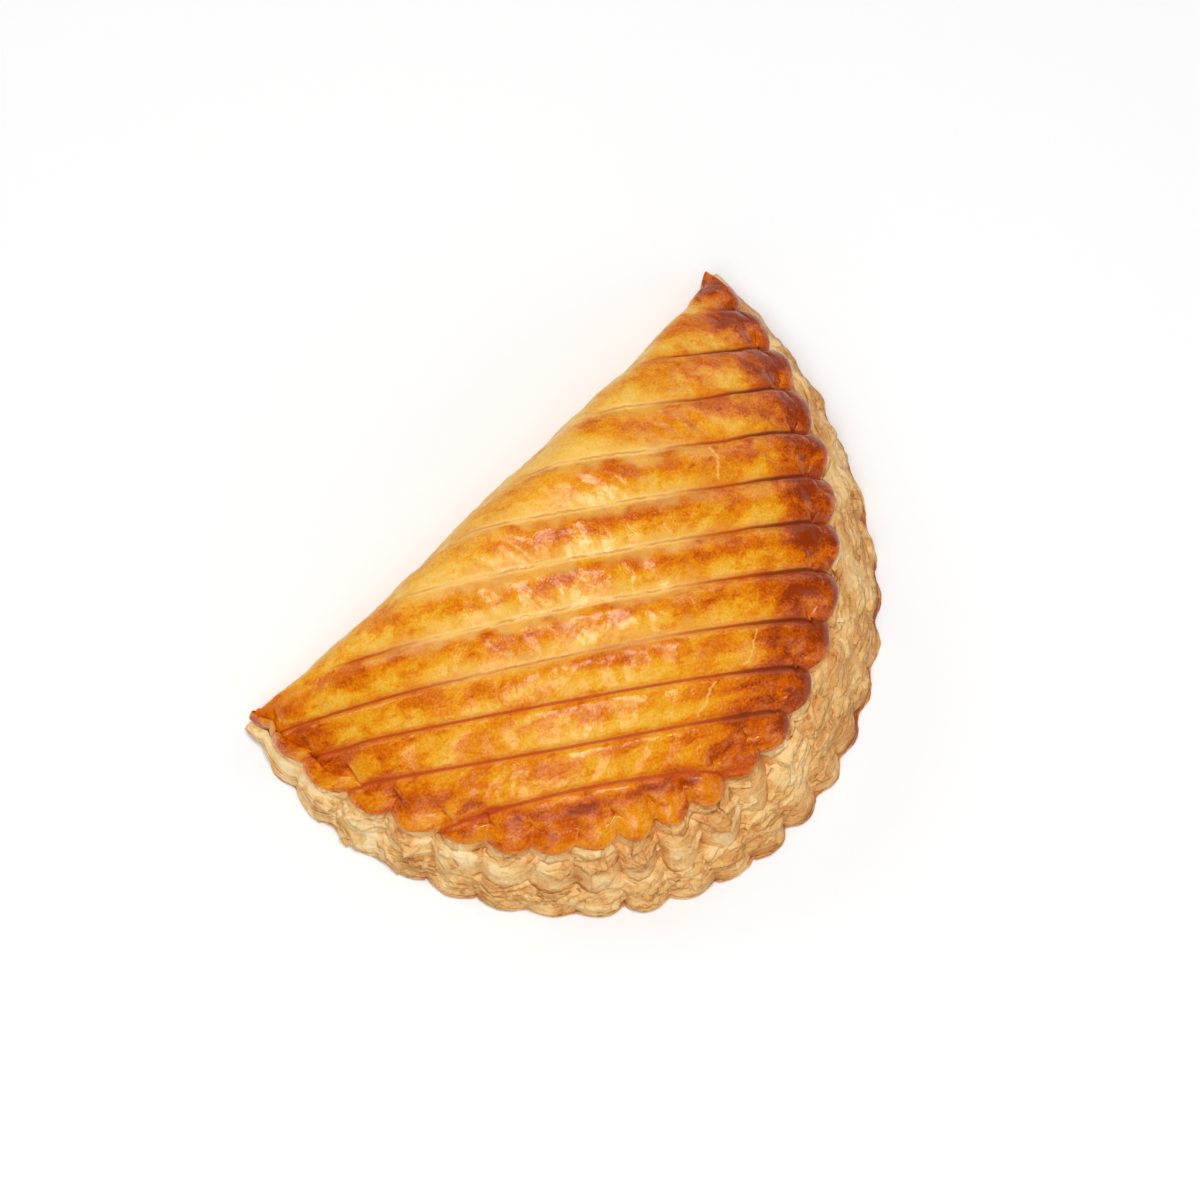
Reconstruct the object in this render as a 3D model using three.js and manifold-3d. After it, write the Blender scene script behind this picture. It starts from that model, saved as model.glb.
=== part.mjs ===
// An apple turnover: one sheet of puff pastry folded over its filling, scored, glazed and baked.
// Millimetres. X runs along the fold, +Y faces the fold, +Z is up and the flat base lies at Z = 0.
import * as THREE from "three";
import { mergeVertices } from "three/addons/utils/BufferGeometryUtils.js";
import Module from "manifold-3d";

const wasm = await Module();
wasm.setup();

const { lerp, smoothstep, degToRad } = THREE.MathUtils;

// Lower rim, seen from above: an ellipse that the fold cuts off at the two corners
const RIM_HALF_LENGTH = 76;
const RIM_HALF_DEPTH = 93;
const RIM_CENTRE_X = -1.4;
const RIM_CENTRE_Y = -7.8;
const RIM_LEAN = 0.085;
const LEFT_CORNER_TUCK = 2.2;

// Scallops: lobes counted from the left corner, where the first is cut short; on the right half the
// lobes of the upper rim lag behind those of the lower one
const LOBES = 25;
const FIRST_LOBE = 0.6;
const SCALLOP_DEPTH = 2.2;
const SCALLOP_ROUNDNESS = 0.75;
const LIP_LAG = 1.55;
const LAG_START = 10;
const LAG_END = 20.5;
const LAG_PASSES = 12;

// Heights of the crust above the base
const CORNER_HEIGHT = 8;
const LIP_HEIGHT = 23.5;
const CREST_HEIGHT = 38;
const LIP_ARCH = 0.7;
const CREST_ARCH = 0.8;
const DOME_FULLNESS = 2.1;

// Side of the turnover: the leafy wall steps in above the lower sheet and leans back to the lip
const SHEET_THICKNESS = 2.2;
const SHEET_BEVEL = 1;
const SHEET_SHOULDER = 0.6;
const SHEET_NOSE = 0.45;
const FLARE = 11.8;
const FLARE_SKEW = 4;
const CORNER_FLARE = 2.4;
const SKIRT_SHARE = 0.25;
const LEAVES = 5;
const LEAF_STEP = 1.1;
const LEAF_RECESS = 0.2;
const LEAF_EDGE = 0.7;
const LEAF_WAVES = [
  { weight: 0.65, perLobe: 0.83, perLeaf: 2.1 },
  { weight: 0.35, perLobe: 2.37, perLeaf: 4.4 },
];

// Lip: the browned edge of the upper sheet, its profile in shares of overhang, roll and thickness
const LIP_THICKNESS = 3.6;
const LIP_OVERHANG = 0.9;
const LIP_ROLL = 2.6;
const LIP_PROFILE = [
  { proud: 0.3, back: 0, height: 0 },
  { proud: 1, back: 0, height: 0.45 },
  { proud: 0, back: 0.25, height: 0.88 },
  { proud: 0, back: 1, height: 1 },
];
const FLUTE_DEPTH = 1.1;
const FLUTE_REACH = 0.08;
const MEAN_NOTCH = 0.35;

// Fold along the back
const FOLD_LEFT = -69;
const FOLD_RIGHT = 68;
const FOLD_HALF = 72.5;
const FOLD_DIP = 7;
const FOLD_SQUARENESS = 3;
const FOLD_ROUND = 13;
const CORNER_ROUND = 1;
const FOLD_WAIST = 0.42;
const FOLD_UNDERCUT = 4;
const CORNER_UNDERCUT = 1;
const CORNER_BULGE = 0.8;
const CORNER_REACH = 0.09;
const CORNER_FULLNESS = 0.3;

// Sealed left corner, which lies lower than the dome over the filling
const SEALED_CORNER = new THREE.Vector2(-72, 0);
const SEALED_RADIUS = 26;
const SEALED_SLOPE = 6;
const SEALED_DROP = 2.2;

// Score lines cut across the top before baking
const SCORES = 11;
const FIRST_SCORE_NOTCH = 23;
const LAST_SCORE_NOTCH = 12.25;
const SCORE_INSET = 2;
const SCORE_WIDTH = 2.2;
const SCORE_DEPTH = 1.3;
const FIRST_SCORE_ANGLE = 25.2;
const SCORE_FAN = 1.53;
const MOST_SCORE_ANGLE = 37.4;
const LAST_SCORE_ANGLE = 36.3;
const SCORE_STEPS = 8;
const BOW_SHARE = 0.036;
const MOST_BOW = 3.2;
const LAST_BOW = -0.7;
const TOP_LENGTH_INSET = 6.5;
const TOP_DEPTH_INSET = 13;
const SCORE_FOLD_GAP = 6;
const CUTTER_RISE = 3;

// How finely each face is divided
const LOBE_STEPS = [0, 0.2, 0.5, 0.8];
const TOP_ROWS = [0.07, 0.18, 0.32, 0.48, 0.66, 0.84];
const FOLD_TURNS = [0, 35, 65, 90];
const UNDER_TURNS = [40, 90];

const CORNER_ANGLE = Math.acos(RIM_CENTRE_Y / RIM_HALF_DEPTH);

// Point and outward direction on the smooth rim ellipse, from the left corner at 0 to the right at 1
function rimAt(share) {
  const angle = lerp(-CORNER_ANGLE, CORNER_ANGLE, share);
  const y = RIM_CENTRE_Y - RIM_HALF_DEPTH * Math.cos(angle);
  const x = RIM_CENTRE_X + RIM_HALF_LENGTH * Math.sin(angle) + RIM_LEAN * (y - RIM_CENTRE_Y);
  const runY = RIM_HALF_DEPTH * Math.sin(angle);
  const runX = RIM_HALF_LENGTH * Math.cos(angle) + RIM_LEAN * runY;
  const outward = new THREE.Vector2(runY, -runX).normalize();
  return { x, y, outward };
}

// 0 at the corners, 1 at the middle of the scalloped side
function archAt(share) {
  return Math.sin(Math.PI * share);
}

// How far the lip stands back from the lower rim, a little more towards the right corner
function flareAt(share) {
  const skew = FLARE_SKEW * (share - 0.5);
  return lerp(CORNER_FLARE, FLARE + skew, archAt(share));
}

function lobeToShare(lobe) {
  return (lobe - FIRST_LOBE) / LOBES;
}

// Lobe of the upper rim above a place on the lower one
function lipLobe(lobe) {
  return lobe - LIP_LAG * smoothstep(lobe, LAG_START, LAG_END);
}

// Place of a notch of the upper rim, counted from the left corner
function lipNotchShare(number) {
  let lobe = number;
  for (let pass = 0; pass < LAG_PASSES; pass += 1) {
    lobe = number + LIP_LAG * smoothstep(lobe, LAG_START, LAG_END);
  }
  return lobeToShare(lobe);
}

// 1 on the crown of a lobe, 0 in the notch between two
function crownAt(lobe) {
  return Math.abs(Math.sin(Math.PI * lobe)) ** SCALLOP_ROUNDNESS;
}

// Back of the fold, which dips inwards between the corners
function foldBack(x) {
  return -FOLD_DIP * (1 - Math.abs(x / FOLD_HALF) ** FOLD_SQUARENESS);
}

// Uneven reach of one pastry leaf along the wall
function leafRag(leaf, lobe) {
  let rag = 0;
  for (const wave of LEAF_WAVES) {
    rag += wave.weight * Math.sin(wave.perLobe * lobe + wave.perLeaf * leaf);
  }
  return rag;
}

// One closed outline from the base over the wall, the lip and the dome to the fold and back
function sectionAt(share) {
  const lobe = FIRST_LOBE + LOBES * share;
  const arch = archAt(share);
  const crown = crownAt(lipLobe(lobe));
  const rim = rimAt(share);
  const flare = flareAt(share);
  const lipTop = lerp(CORNER_HEIGHT, LIP_HEIGHT, arch ** LIP_ARCH);
  const lipUnder = lipTop - LIP_THICKNESS;
  const toCorner = Math.min(share, 1 - share);
  const fullness = lerp(CORNER_FULLNESS, 1, smoothstep(toCorner, 0, CORNER_REACH));
  const tuck = LEFT_CORNER_TUCK * (1 - smoothstep(share, 0, CORNER_REACH));
  const rimNotch = SCALLOP_DEPTH * (crownAt(lobe) - 1) * fullness - tuck;
  const lipNotch = SCALLOP_DEPTH * (crown - 1) * fullness - tuck;
  const roll = LIP_ROLL * fullness;
  const overhang = LIP_OVERHANG * fullness;
  const leafStep = LEAF_STEP * fullness;
  const outline = [];

  // upward goes from 0 at the lower rim to 1 at the lip
  const addRimPoint = (out, height, upward) => {
    const reach = out + lerp(rimNotch, lipNotch, upward);
    outline.push(new THREE.Vector3(rim.x + rim.outward.x * reach, rim.y + rim.outward.y * reach, height));
  };

  // lower sheet
  addRimPoint(-SHEET_BEVEL, 0, 0);
  addRimPoint(0, SHEET_THICKNESS * SHEET_NOSE, 0);
  addRimPoint(-SHEET_SHOULDER, SHEET_THICKNESS, 0);

  // leafy wall, each leaf a recess and a proud edge
  const wallRise = lipUnder - SHEET_THICKNESS;
  const addWallPoint = (upward, proud) => {
    addRimPoint(proud - flare * lerp(SKIRT_SHARE, 1, upward), SHEET_THICKNESS + wallRise * upward, upward);
  };
  for (let leaf = 0; leaf < LEAVES; leaf += 1) {
    addWallPoint((leaf + LEAF_RECESS) / LEAVES, -leafStep / 2);
    addWallPoint((leaf + LEAF_EDGE) / LEAVES, leafStep * (1 + leafRag(leaf, lobe)) / 2);
  }

  // lip
  for (const point of LIP_PROFILE) {
    const out = overhang * point.proud - roll * point.back - flare;
    addRimPoint(out, lipUnder + LIP_THICKNESS * point.height, 1);
  }

  // dome, from an even line behind the lip up to the crest beside the fold
  const footReach = -roll - flare - SCALLOP_DEPTH * MEAN_NOTCH * fullness - tuck;
  const foot = new THREE.Vector2(rim.x, rim.y).addScaledVector(rim.outward, footReach);
  const foldX = lerp(FOLD_LEFT, FOLD_RIGHT, share);
  const foldY = foldBack(foldX);
  const foldRound = lerp(CORNER_ROUND, FOLD_ROUND, arch);
  const crestHeight = lerp(CORNER_HEIGHT, CREST_HEIGHT, arch ** CREST_ARCH);
  const crestY = foldY - foldRound;
  for (const inward of TOP_ROWS) {
    const x = lerp(foot.x, foldX, inward);
    const y = lerp(foot.y, crestY, inward);
    const rise = 1 - (1 - inward) ** DOME_FULLNESS;
    const flute = FLUTE_DEPTH * arch * (1 - crown) * Math.exp(-inward / FLUTE_REACH);
    const fromCorner = SEALED_CORNER.distanceTo(new THREE.Vector2(x, y));
    const sealed = 1 - smoothstep(fromCorner, SEALED_RADIUS - SEALED_SLOPE, SEALED_RADIUS + SEALED_SLOPE);
    const drop = SEALED_DROP * sealed * (1 - inward);
    outline.push(new THREE.Vector3(x, y, lerp(lipTop, crestHeight, rise) - flute - drop));
  }

  // fold: round over the back, then tucked under to the base
  const waist = crestHeight * FOLD_WAIST;
  for (const turn of FOLD_TURNS) {
    const angle = degToRad(turn);
    const y = crestY + foldRound * Math.sin(angle);
    outline.push(new THREE.Vector3(foldX, y, waist + (crestHeight - waist) * Math.cos(angle)));
  }
  const undercut = lerp(CORNER_UNDERCUT, FOLD_UNDERCUT, arch);
  for (const turn of UNDER_TURNS) {
    const angle = degToRad(turn);
    const y = foldY - undercut * (1 - Math.cos(angle));
    outline.push(new THREE.Vector3(foldX, y, waist * (1 - Math.sin(angle))));
  }
  return outline;
}

// Skin over a row of outlines with equal counts, closed by a fan at each end
function loft(outlines, startBulge, endBulge) {
  const count = outlines[0].length;
  const positions = [];
  const triangles = [];
  for (const outline of outlines) {
    for (const point of outline) {
      positions.push(point.x, point.y, point.z);
    }
  }
  for (let row = 0; row + 1 < outlines.length; row += 1) {
    for (let step = 0; step < count; step += 1) {
      const next = (step + 1) % count;
      const a = row * count + step;
      const b = row * count + next;
      const c = a + count;
      const d = b + count;
      triangles.push(a, c, b, b, c, d);
    }
  }
  const addFan = (row, bulge, flip) => {
    const middle = outlines[row].reduce((sum, point) => sum.add(point), new THREE.Vector3());
    middle.divideScalar(count).add(bulge);
    const hub = positions.length / 3;
    positions.push(middle.x, middle.y, middle.z);
    for (let step = 0; step < count; step += 1) {
      const a = row * count + step;
      const b = row * count + (step + 1) % count;
      triangles.push(hub, flip ? b : a, flip ? a : b);
    }
  };
  addFan(0, startBulge, false);
  addFan(outlines.length - 1, endBulge, true);
  const geometry = new THREE.BufferGeometry();
  geometry.setAttribute("position", new THREE.Float32BufferAttribute(positions, 3));
  geometry.setIndex(triangles);
  return geometry;
}

function toSolid(geometry) {
  const merged = mergeVertices(geometry);
  return new wasm.Manifold(new wasm.Mesh({
    numProp: 3,
    vertProperties: new Float32Array(merged.attributes.position.array),
    triVerts: new Uint32Array(merged.index.array),
  }));
}

function toGeometry(solid) {
  const mesh = solid.getMesh();
  const geometry = new THREE.BufferGeometry();
  geometry.setAttribute("position", new THREE.BufferAttribute(mesh.vertProperties, 3));
  geometry.setIndex(new THREE.BufferAttribute(mesh.triVerts, 1));
  return geometry;
}

// The whole turnover before scoring
function bakedBody() {
  const outlines = [sectionAt(0)];
  for (let lobe = Math.ceil(FIRST_LOBE); lobe < FIRST_LOBE + LOBES; lobe += 1) {
    for (const step of LOBE_STEPS) {
      const share = lobeToShare(lobe + step);
      if (share < 1) {
        outlines.push(sectionAt(share));
      }
    }
  }
  outlines.push(sectionAt(1));
  const bulge = new THREE.Vector3(0, CORNER_BULGE, 0);
  return loft(outlines, bulge, bulge);
}

// True where a score line may run: inside the lip and in front of the fold
function onTop(x, y) {
  const acrossX = x - RIM_CENTRE_X - RIM_LEAN * (y - RIM_CENTRE_Y);
  const lengthwise = acrossX / (RIM_HALF_LENGTH - TOP_LENGTH_INSET);
  const crosswise = (y - RIM_CENTRE_Y) / (RIM_HALF_DEPTH - TOP_DEPTH_INSET);
  return y < foldBack(x) - SCORE_FOLD_GAP && Math.hypot(lengthwise, crosswise) < 1;
}

// Wedge that cuts one score line, from the lip notch where it ends back to the fold or the left lip
function scoreCutter(number, body) {
  const last = number === SCORES - 1;
  const share = lipNotchShare(last ? LAST_SCORE_NOTCH : FIRST_SCORE_NOTCH - number);
  const rim = rimAt(share);
  const inset = flareAt(share) + SCORE_INSET;
  const end = new THREE.Vector2(rim.x, rim.y).addScaledVector(rim.outward, -inset);
  const fanned = Math.min(FIRST_SCORE_ANGLE + SCORE_FAN * number, MOST_SCORE_ANGLE);
  const angle = degToRad(last ? LAST_SCORE_ANGLE : fanned);
  const back = new THREE.Vector2(-Math.cos(angle), Math.sin(angle));
  const across = new THREE.Vector2(back.y, -back.x);

  let length = 0;
  while (onTop(end.x + back.x * (length + 1), end.y + back.y * (length + 1))) {
    length += 1;
  }
  const fullBow = last ? LAST_BOW : Math.min(BOW_SHARE * length, MOST_BOW);

  const half = SCORE_WIDTH / 2 * (SCORE_DEPTH + CUTTER_RISE) / SCORE_DEPTH;
  const ray = new THREE.Raycaster();
  const down = new THREE.Vector3(0, 0, -1);
  const wedges = [];
  for (let step = 0; step <= SCORE_STEPS; step += 1) {
    const run = length * step / SCORE_STEPS;
    const bow = fullBow * Math.sin(Math.PI * step / SCORE_STEPS);
    const x = end.x + back.x * run - across.x * bow;
    const y = end.y + back.y * run - across.y * bow;
    ray.set(new THREE.Vector3(x, y, CREST_HEIGHT * 2), down);
    const surface = ray.intersectObject(body)[0].point.z;
    wedges.push([
      new THREE.Vector3(x, y, surface - SCORE_DEPTH),
      new THREE.Vector3(x + across.x * half, y + across.y * half, surface + CUTTER_RISE),
      new THREE.Vector3(x - across.x * half, y - across.y * half, surface + CUTTER_RISE),
    ]);
  }
  const none = new THREE.Vector3();
  return loft(wedges, none, none);
}

function scoredTurnover() {
  const bodyGeometry = bakedBody();
  const body = new THREE.Mesh(bodyGeometry, new THREE.MeshBasicMaterial({ side: THREE.DoubleSide }));
  let solid = toSolid(bodyGeometry);
  for (let number = 0; number < SCORES; number += 1) {
    solid = solid.subtract(toSolid(scoreCutter(number, body)));
  }
  return toGeometry(solid);
}

const pastryGeometry = scoredTurnover();

// Centre the part over its base
pastryGeometry.computeBoundingBox();
const box = pastryGeometry.boundingBox;
pastryGeometry.translate(-(box.min.x + box.max.x) / 2, -(box.min.y + box.max.y) / 2, -box.min.z);
pastryGeometry.computeVertexNormals();

const pastryMaterial = new THREE.MeshStandardMaterial({ color: 0xd98a2b, roughness: 0.45, metalness: 0 });
const pastry = new THREE.Mesh(pastryGeometry, pastryMaterial);
pastry.name = "pastry";

const turnover = new THREE.Group();
turnover.add(pastry);

export default turnover;
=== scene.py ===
import math
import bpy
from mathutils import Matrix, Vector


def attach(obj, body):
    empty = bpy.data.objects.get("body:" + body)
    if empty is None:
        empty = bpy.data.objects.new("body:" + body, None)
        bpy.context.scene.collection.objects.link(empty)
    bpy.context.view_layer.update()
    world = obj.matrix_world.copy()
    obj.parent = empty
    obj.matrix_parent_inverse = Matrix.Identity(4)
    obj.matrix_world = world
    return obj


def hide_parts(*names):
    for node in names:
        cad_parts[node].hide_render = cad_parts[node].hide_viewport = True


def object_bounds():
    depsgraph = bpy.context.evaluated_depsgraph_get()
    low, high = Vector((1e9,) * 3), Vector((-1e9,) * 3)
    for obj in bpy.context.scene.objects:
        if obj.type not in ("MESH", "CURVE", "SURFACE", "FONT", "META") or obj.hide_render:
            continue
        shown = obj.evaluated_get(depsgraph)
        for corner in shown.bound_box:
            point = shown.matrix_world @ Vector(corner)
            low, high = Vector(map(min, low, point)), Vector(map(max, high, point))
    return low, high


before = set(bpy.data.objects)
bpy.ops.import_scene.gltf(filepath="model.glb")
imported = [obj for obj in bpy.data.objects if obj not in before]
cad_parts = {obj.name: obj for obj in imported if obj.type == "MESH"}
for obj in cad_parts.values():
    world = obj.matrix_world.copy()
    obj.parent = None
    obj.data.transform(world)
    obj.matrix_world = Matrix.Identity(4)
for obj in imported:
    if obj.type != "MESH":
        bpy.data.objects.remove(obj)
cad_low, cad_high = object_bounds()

from types import SimpleNamespace

import bpy
import numpy as np
from mathutils import Vector

# The looks of an apple turnover of puff pastry. Lengths are millimetres until the meshes are made,
# in the layout that the solid has: X along the fold, the fold towards +Y, lobes counted from the left.

# Lower rim, seen from above
RIM_HALF_LENGTH = 76.0
RIM_HALF_DEPTH = 93.0
RIM_CENTRE_X = -1.4
RIM_CENTRE_Y = -7.8
RIM_LEAN = 0.085
LEFT_CORNER_TUCK = 2.2
CORNER_ANGLE = math.acos(RIM_CENTRE_Y / RIM_HALF_DEPTH)

# Scallops, counted in lobes from the left corner; the lobes of the lip lag behind on the right half
LOBES = 25
FIRST_LOBE = 0.6
SCALLOP_DEPTH = 2.2
SCALLOP_ROUNDNESS = 0.75
LIP_LAG = 1.55
LAG_LOBES = (10.0, 20.5)
LAG_PASSES = 12
RIM_NOTCH_DEPTHS = (0.5, 1.25)
LIP_NOTCH_DEPTHS = (0.75, 1.3)
DEEP_NOTCH = 0.85
DEEP_LOBES = (8.4, 9.6, 12.4, 13.6)
LOBE_JITTER = 0.45
RIM_SEED = 5
LIP_SEED = 8

# Heights of the crust above the base
CORNER_HEIGHT = 8.0
LIP_HEIGHT = 23.5
CREST_HEIGHT = 38.0
LIP_ARCH = 0.7
CREST_ARCH = 0.8
DOME_FULLNESS = 2.1

# Side: the leafy wall leans back from the lower sheet to the lip
SHEET_THICKNESS = 2.2
SHEET_BEVEL = 1.0
SHEET_SHOULDER = 0.6
FLARE = 11.8
FLARE_SKEW = 4.0
CORNER_FLARE = 2.4
SKIRT_SHARE = 0.25
LIP_THICKNESS = 3.6
LIP_OVERHANG = 0.9
LIP_ROLL = 2.6

# Lip: how far proud, back and up each point of its section is, in overhangs, rolls and thicknesses
LIP_PROFILE = ((-2.2, 0.0, 0.0), (0.3, 0.0, 0.0), (1.0, 0.0, 0.3), (0.0, 0.25, 0.72), (0.0, 1.0, 1.0))
LIP_TAIL = (-3.5, 0.0, 0.1)
LIP_TURN_SHARE = 0.03
LIP_CORNER_REACH = 0.045
LIP_CORNER_FULLNESS = 0.5
FLUTE_DEPTH = 1.1
FLUTE_REACH = 1.6
NOTCH_REACH = 3.4
NOTCH_FADE = 4

# Fold along the back
FOLD_LEFT = -69.0
FOLD_RIGHT = 68.0
FOLD_HALF = 72.5
FOLD_DIP = 7.0
FOLD_SQUARENESS = 3.0
FOLD_ROUND = 13.0
CORNER_ROUND = 1.0
FOLD_WAIST = 0.42
FOLD_UNDERCUT = 4.0
CORNER_UNDERCUT = 1.0
CORNER_BULGE = 0.8
CORNER_REACH = 0.09
CORNER_FULLNESS = 0.3
TIP_REACH = 0.045

# Sealed left corner, lower than the dome over the filling
SEALED_X = -72.0
SEALED_Y = 0.0
SEALED_RADIUS = 26.0
SEALED_SLOPE = 4.0
SEALED_DROP = 2.2

# Score lines
SCORES = 11
FIRST_SCORE_NOTCH = 23.0
LAST_SCORE_NOTCH = 12.25
SCORE_INSET = 2.0
FIRST_SCORE_ANGLE = 25.2
SCORE_FAN = 1.53
MOST_SCORE_ANGLE = 37.4
LAST_SCORE_ANGLE = 36.3
BOW_SHARE = 0.036
MOST_BOW = 3.2
LAST_BOW = -0.7
TOP_LENGTH_INSET = 6.5
TOP_DEPTH_INSET = 13.0
SCORE_FOLD_GAP = 6.0
FOLD_FADE = (-6.0, 3.0)
LIP_FADE = (9.0, 13.0)
SCORE_PACE = 1.0
SCORE_LEAD_IN = (-7.0, -3.0)
SCORED_LIP = 3.0
SCORED_FOLD = 0.8
STRIP_WIDTH = 10.5
FRONT_LINES = (7.0, 9.5)

# Relief of the glazed top. A skin swell has a height, a width and a pattern, a patch only the last two
STRIP_PILLOW = 0.95
FRONT_PILLOW = 0.5
STRIP_LEAN = 0.58
GROOVE_DEPTH = 0.6
GROOVE_HALF_WIDTH = 0.7
OPENED_GROOVE = 0.05
OPENED_PILLOW = 0.8
OPENED_HALF_WIDTH = 2.8
BLISTERS = (0.55, 11.0, 3.1)
DIMPLES = (0.3, 4.6, 7.7)
WRINKLES = (0.09, 1.7, 12.9)
RIPPLE_HEIGHT = 0.42
RIPPLE_SPACING = 3.1
RIPPLE_LENGTH = 6.0
RIPPLE_SLANT = 0.9
RIPPLE_SHIFT = 5.0
RIPPLE_PLACE = (0.2, 0.5, 0.86, 0.98)
RIPPLE_PATCHES = (16.0, 21.3)
RIPPLE_ONSET = (-0.25, 0.35)
TROUGH_GAP = 4.6
TROUGH_WANDER = 0.7
TROUGH_SWELLS = (9.0, 31.7)
TROUGH_HALF_WIDTH = 1.4
TROUGH_DEPTH = 0.4
TROUGH_LOBES = (4.5, 6.5, 10.0, 12.0)

# Browning of the glazed top
FRONT_TOAST = 0.5
LEFT_TOAST = 0.06
TOAST_RIGHT = (11.0, 15.0)
TOAST_LEFT = (1.0, 4.0)
OPENED_RUN = (20.0, 38.0)
OPENED_LINES = (7.4, 8.8)
OPENED_LEFT = (-52.0, -36.0)
DARK_RUN = (8.0, 22.0)
DARK_LINES = (9.8, 10.8)
CRACKS = ((4.5, 23.0), (8.5, 14.0), (9.5, 19.5))
CRACK_HALF_SPAN = 0.36

# Leaves of the side. Each tier has its edge a share of the way back to the lip and up the wall, and a
# face that reaches back and rises by shares of the flare and of the wall, along the front and at the right
SHEET_CORNER_REACH = 0.05
SHEET_CORNER_ROUND = 8.0
SHEET_CORNER_TURN = 0.5
CORE_INSET = 1.6
CORE_TOP = 1.06
INNER_RISE = 1.5
SHEET_INSET = 0.45
RIGHT_SIDE = (11.0, 15.5)
TIERS = (
    SimpleNamespace(
        front=(0.0, 0.0, 0.66, 0.5), right=(0.0, 0.0, 0.95, 0.92),
        bulge=1.35, steps=40, plies=2, toast=0.04, flaky=(0.6, 0.8), lip_lobes=False,
    ),
    SimpleNamespace(
        front=(0.36, 0.42, 0.54, 0.46), right=(0.68, 0.62, 0.3, 0.28),
        bulge=2.8, steps=16, plies=3, toast=0.0, flaky=(0.5, 0.9), lip_lobes=True,
    ),
    SimpleNamespace(
        front=(0.76, 0.8, 0.26, 0.25), right=(0.82, 0.8, 0.2, 0.25),
        bulge=1.6, steps=8, plies=3, toast=0.02, flaky=(0.4, 1.0), lip_lobes=True,
    ),
)
RIM_SINGE = 0.7
SINGE_PATCHES = (5.0, 41.3)
SINGE_ONSET = (-0.5, 0.4)
SINGE_SHARPNESS = 18
SINGED_LOBES = (11.5, 13.5, 18.0, 20.5)
RIM_PLY_STEP = 0.35
RIM_PLY_GAP = 0.55
SKIRT_ROOT_SCALLOP = (0.5, 0.1)
SCALLOP_FADE = (1.6, 4.0)
LEFT_PALENESS = 0.22
LEFT_SIDE = (4.0, 8.5)
STRINGY_TOAST = 0.2
STRINGY_LOBES = (11.5, 12.8, 15.5, 17.0)
LEAF_EDGE_TURN = ((0.2, 0.6), (0.9, 0.5))
UNDER_START = 0.8
UNDER_STEPS = 3
PETAL_WANDER = 1.9
WANDER_LINE = 2.5
WANDER_CELL = 0.9
WANDER_SHIFT = 5.0
PETAL_DROOP = 1.9
PETAL_THICKNESS = 0.7
LEAF_FOOT = 1.3
PLY_GAP = 0.8
PLY_STEP = 0.75
PLY_REACH = 2.4
PLY_RISE = 0.5
PLY_STEPS = 6
# Painted shade: each ply is darkened where it lies under the edge of the ply above.
PLY_PAINTED_SHADE = 0.45
PLY_PAINTED_SHADE_END = (0.62, 0.86)
# Painted shade in the creases between lobes, along the front and at the right.
LEAF_CREASE_SHADE = (0.28, 0.1)
CREASE_SHADE_ROOT = 0.25
SKIRT_EDGE = 0.92
PLY_THICKNESS = 0.4
PLY_TOAST = 0.06
LEAF_FLOOR = 0.05

# Torn edges and faces of the leaves: heights, the width of one swell and which pattern each leaf takes
FIRST_LEAF_SEED = 11.0
TIER_SEEDS = 10.0
LEAF_SLIP = 0.08
SLIP_CELL = 2.3
LEAF_SWELL = 0.9
SWELL_CELL = 1.3
LEAF_TEAR = 0.36
LEAF_TEAR_CELL = 0.33
TEAR_SHIFT = 7.0
SKIRT_TORN = 0.5
SKIRT_TEAR_CELL = 0.4
LEAF_FRAY = 0.2
FRAY_CELL = 0.1
FRAY_SHIFT = 8.0
LEAF_BUMP = 0.3
BUMP_CELL = 4.0
BUMP_SHIFT = 5.3
LEAF_LAYER = 1.5
LEAF_LAYERS = 5.0
LEAF_LAYER_STEP = 0.3
LAYER_CELL = 7.0
LAYER_SHIFT = 2.9
LAYER_FLATNESS = (1.0, 1.0, 1.7)

# Loose flakes
FLAKE_SEED = 40
FLAKES = 420
FLAKE_TIERS = (0, 0, 1, 0, 2)
FLAKE_PLACES = (0.08, 0.94)
FLAKE_SHARES = (0.25, 0.87)
FLAKE_WIDTHS = (2.4, 8.5)
FLAKE_LENGTHS = (1.6, 4.6)
FLAKE_LIFTS = (0.05, 0.42)
FLAKE_TOASTS = (-0.1, 0.1)
FLAKE_EDGES = (0.86, 1.0)
FLAKE_FLAKY = 0.5
FLAKE_RAGGED = (0.3, 1.1)
FLAKE_FRAYED = (0.88, 1.08)
FLAKE_LOBES = 5
FLAKE_TURN = 0.6
FLAKE_PROUD = 0.1
FLAKE_SINK = 0.5
FLAKE_CURL = 0.5
FLAKE_SQUARENESS = 4
FLAKE_THICKNESS = 0.24
FLAKE_COLUMNS = 13
FLAKE_STEPS = 5
FLAKE_FOOTING = 4

# How finely the meshes are divided
TOP_COLUMNS = 476
LIP_STEPS = 5
DOME_ROWS = 140
FOLD_ROWS = 20
UNDER_ROWS = 9
INNER_ROWS = 5
SHEET_COLUMNS = 440
WALL_ROWS = 12
EDGE_ROWS = 9
BASE_ROWS = 10
LEAF_COLUMNS = 640
CAP_RINGS = 4
RIM_SAMPLES = 501
LEAST_LENGTH = 1e-9
LAYOUT_MARGIN = 0.01

# Unevenness: a lattice of random slopes
NOISE_SEED = 22
LATTICE = 64
MID_CELL = 0.5
NOISE_GAIN = 1.6
GRADIENTS = np.random.default_rng(NOISE_SEED).normal(size=(LATTICE, LATTICE, LATTICE, 3))
GRADIENTS /= np.linalg.norm(GRADIENTS, axis=-1, keepdims=True)


def lerp(start, end, share):
    return start + (end - start) * share


def smooth_step(value, low, high):
    share = np.clip((value - low) / (high - low), 0.0, 1.0)
    return share * share * (3.0 - 2.0 * share)


def band(value, places):
    """Rises from 0 to 1 between the first two places and falls back between the last two."""
    start, full, fall, end = places
    return smooth_step(value, start, full) * (1.0 - smooth_step(value, fall, end))


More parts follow.
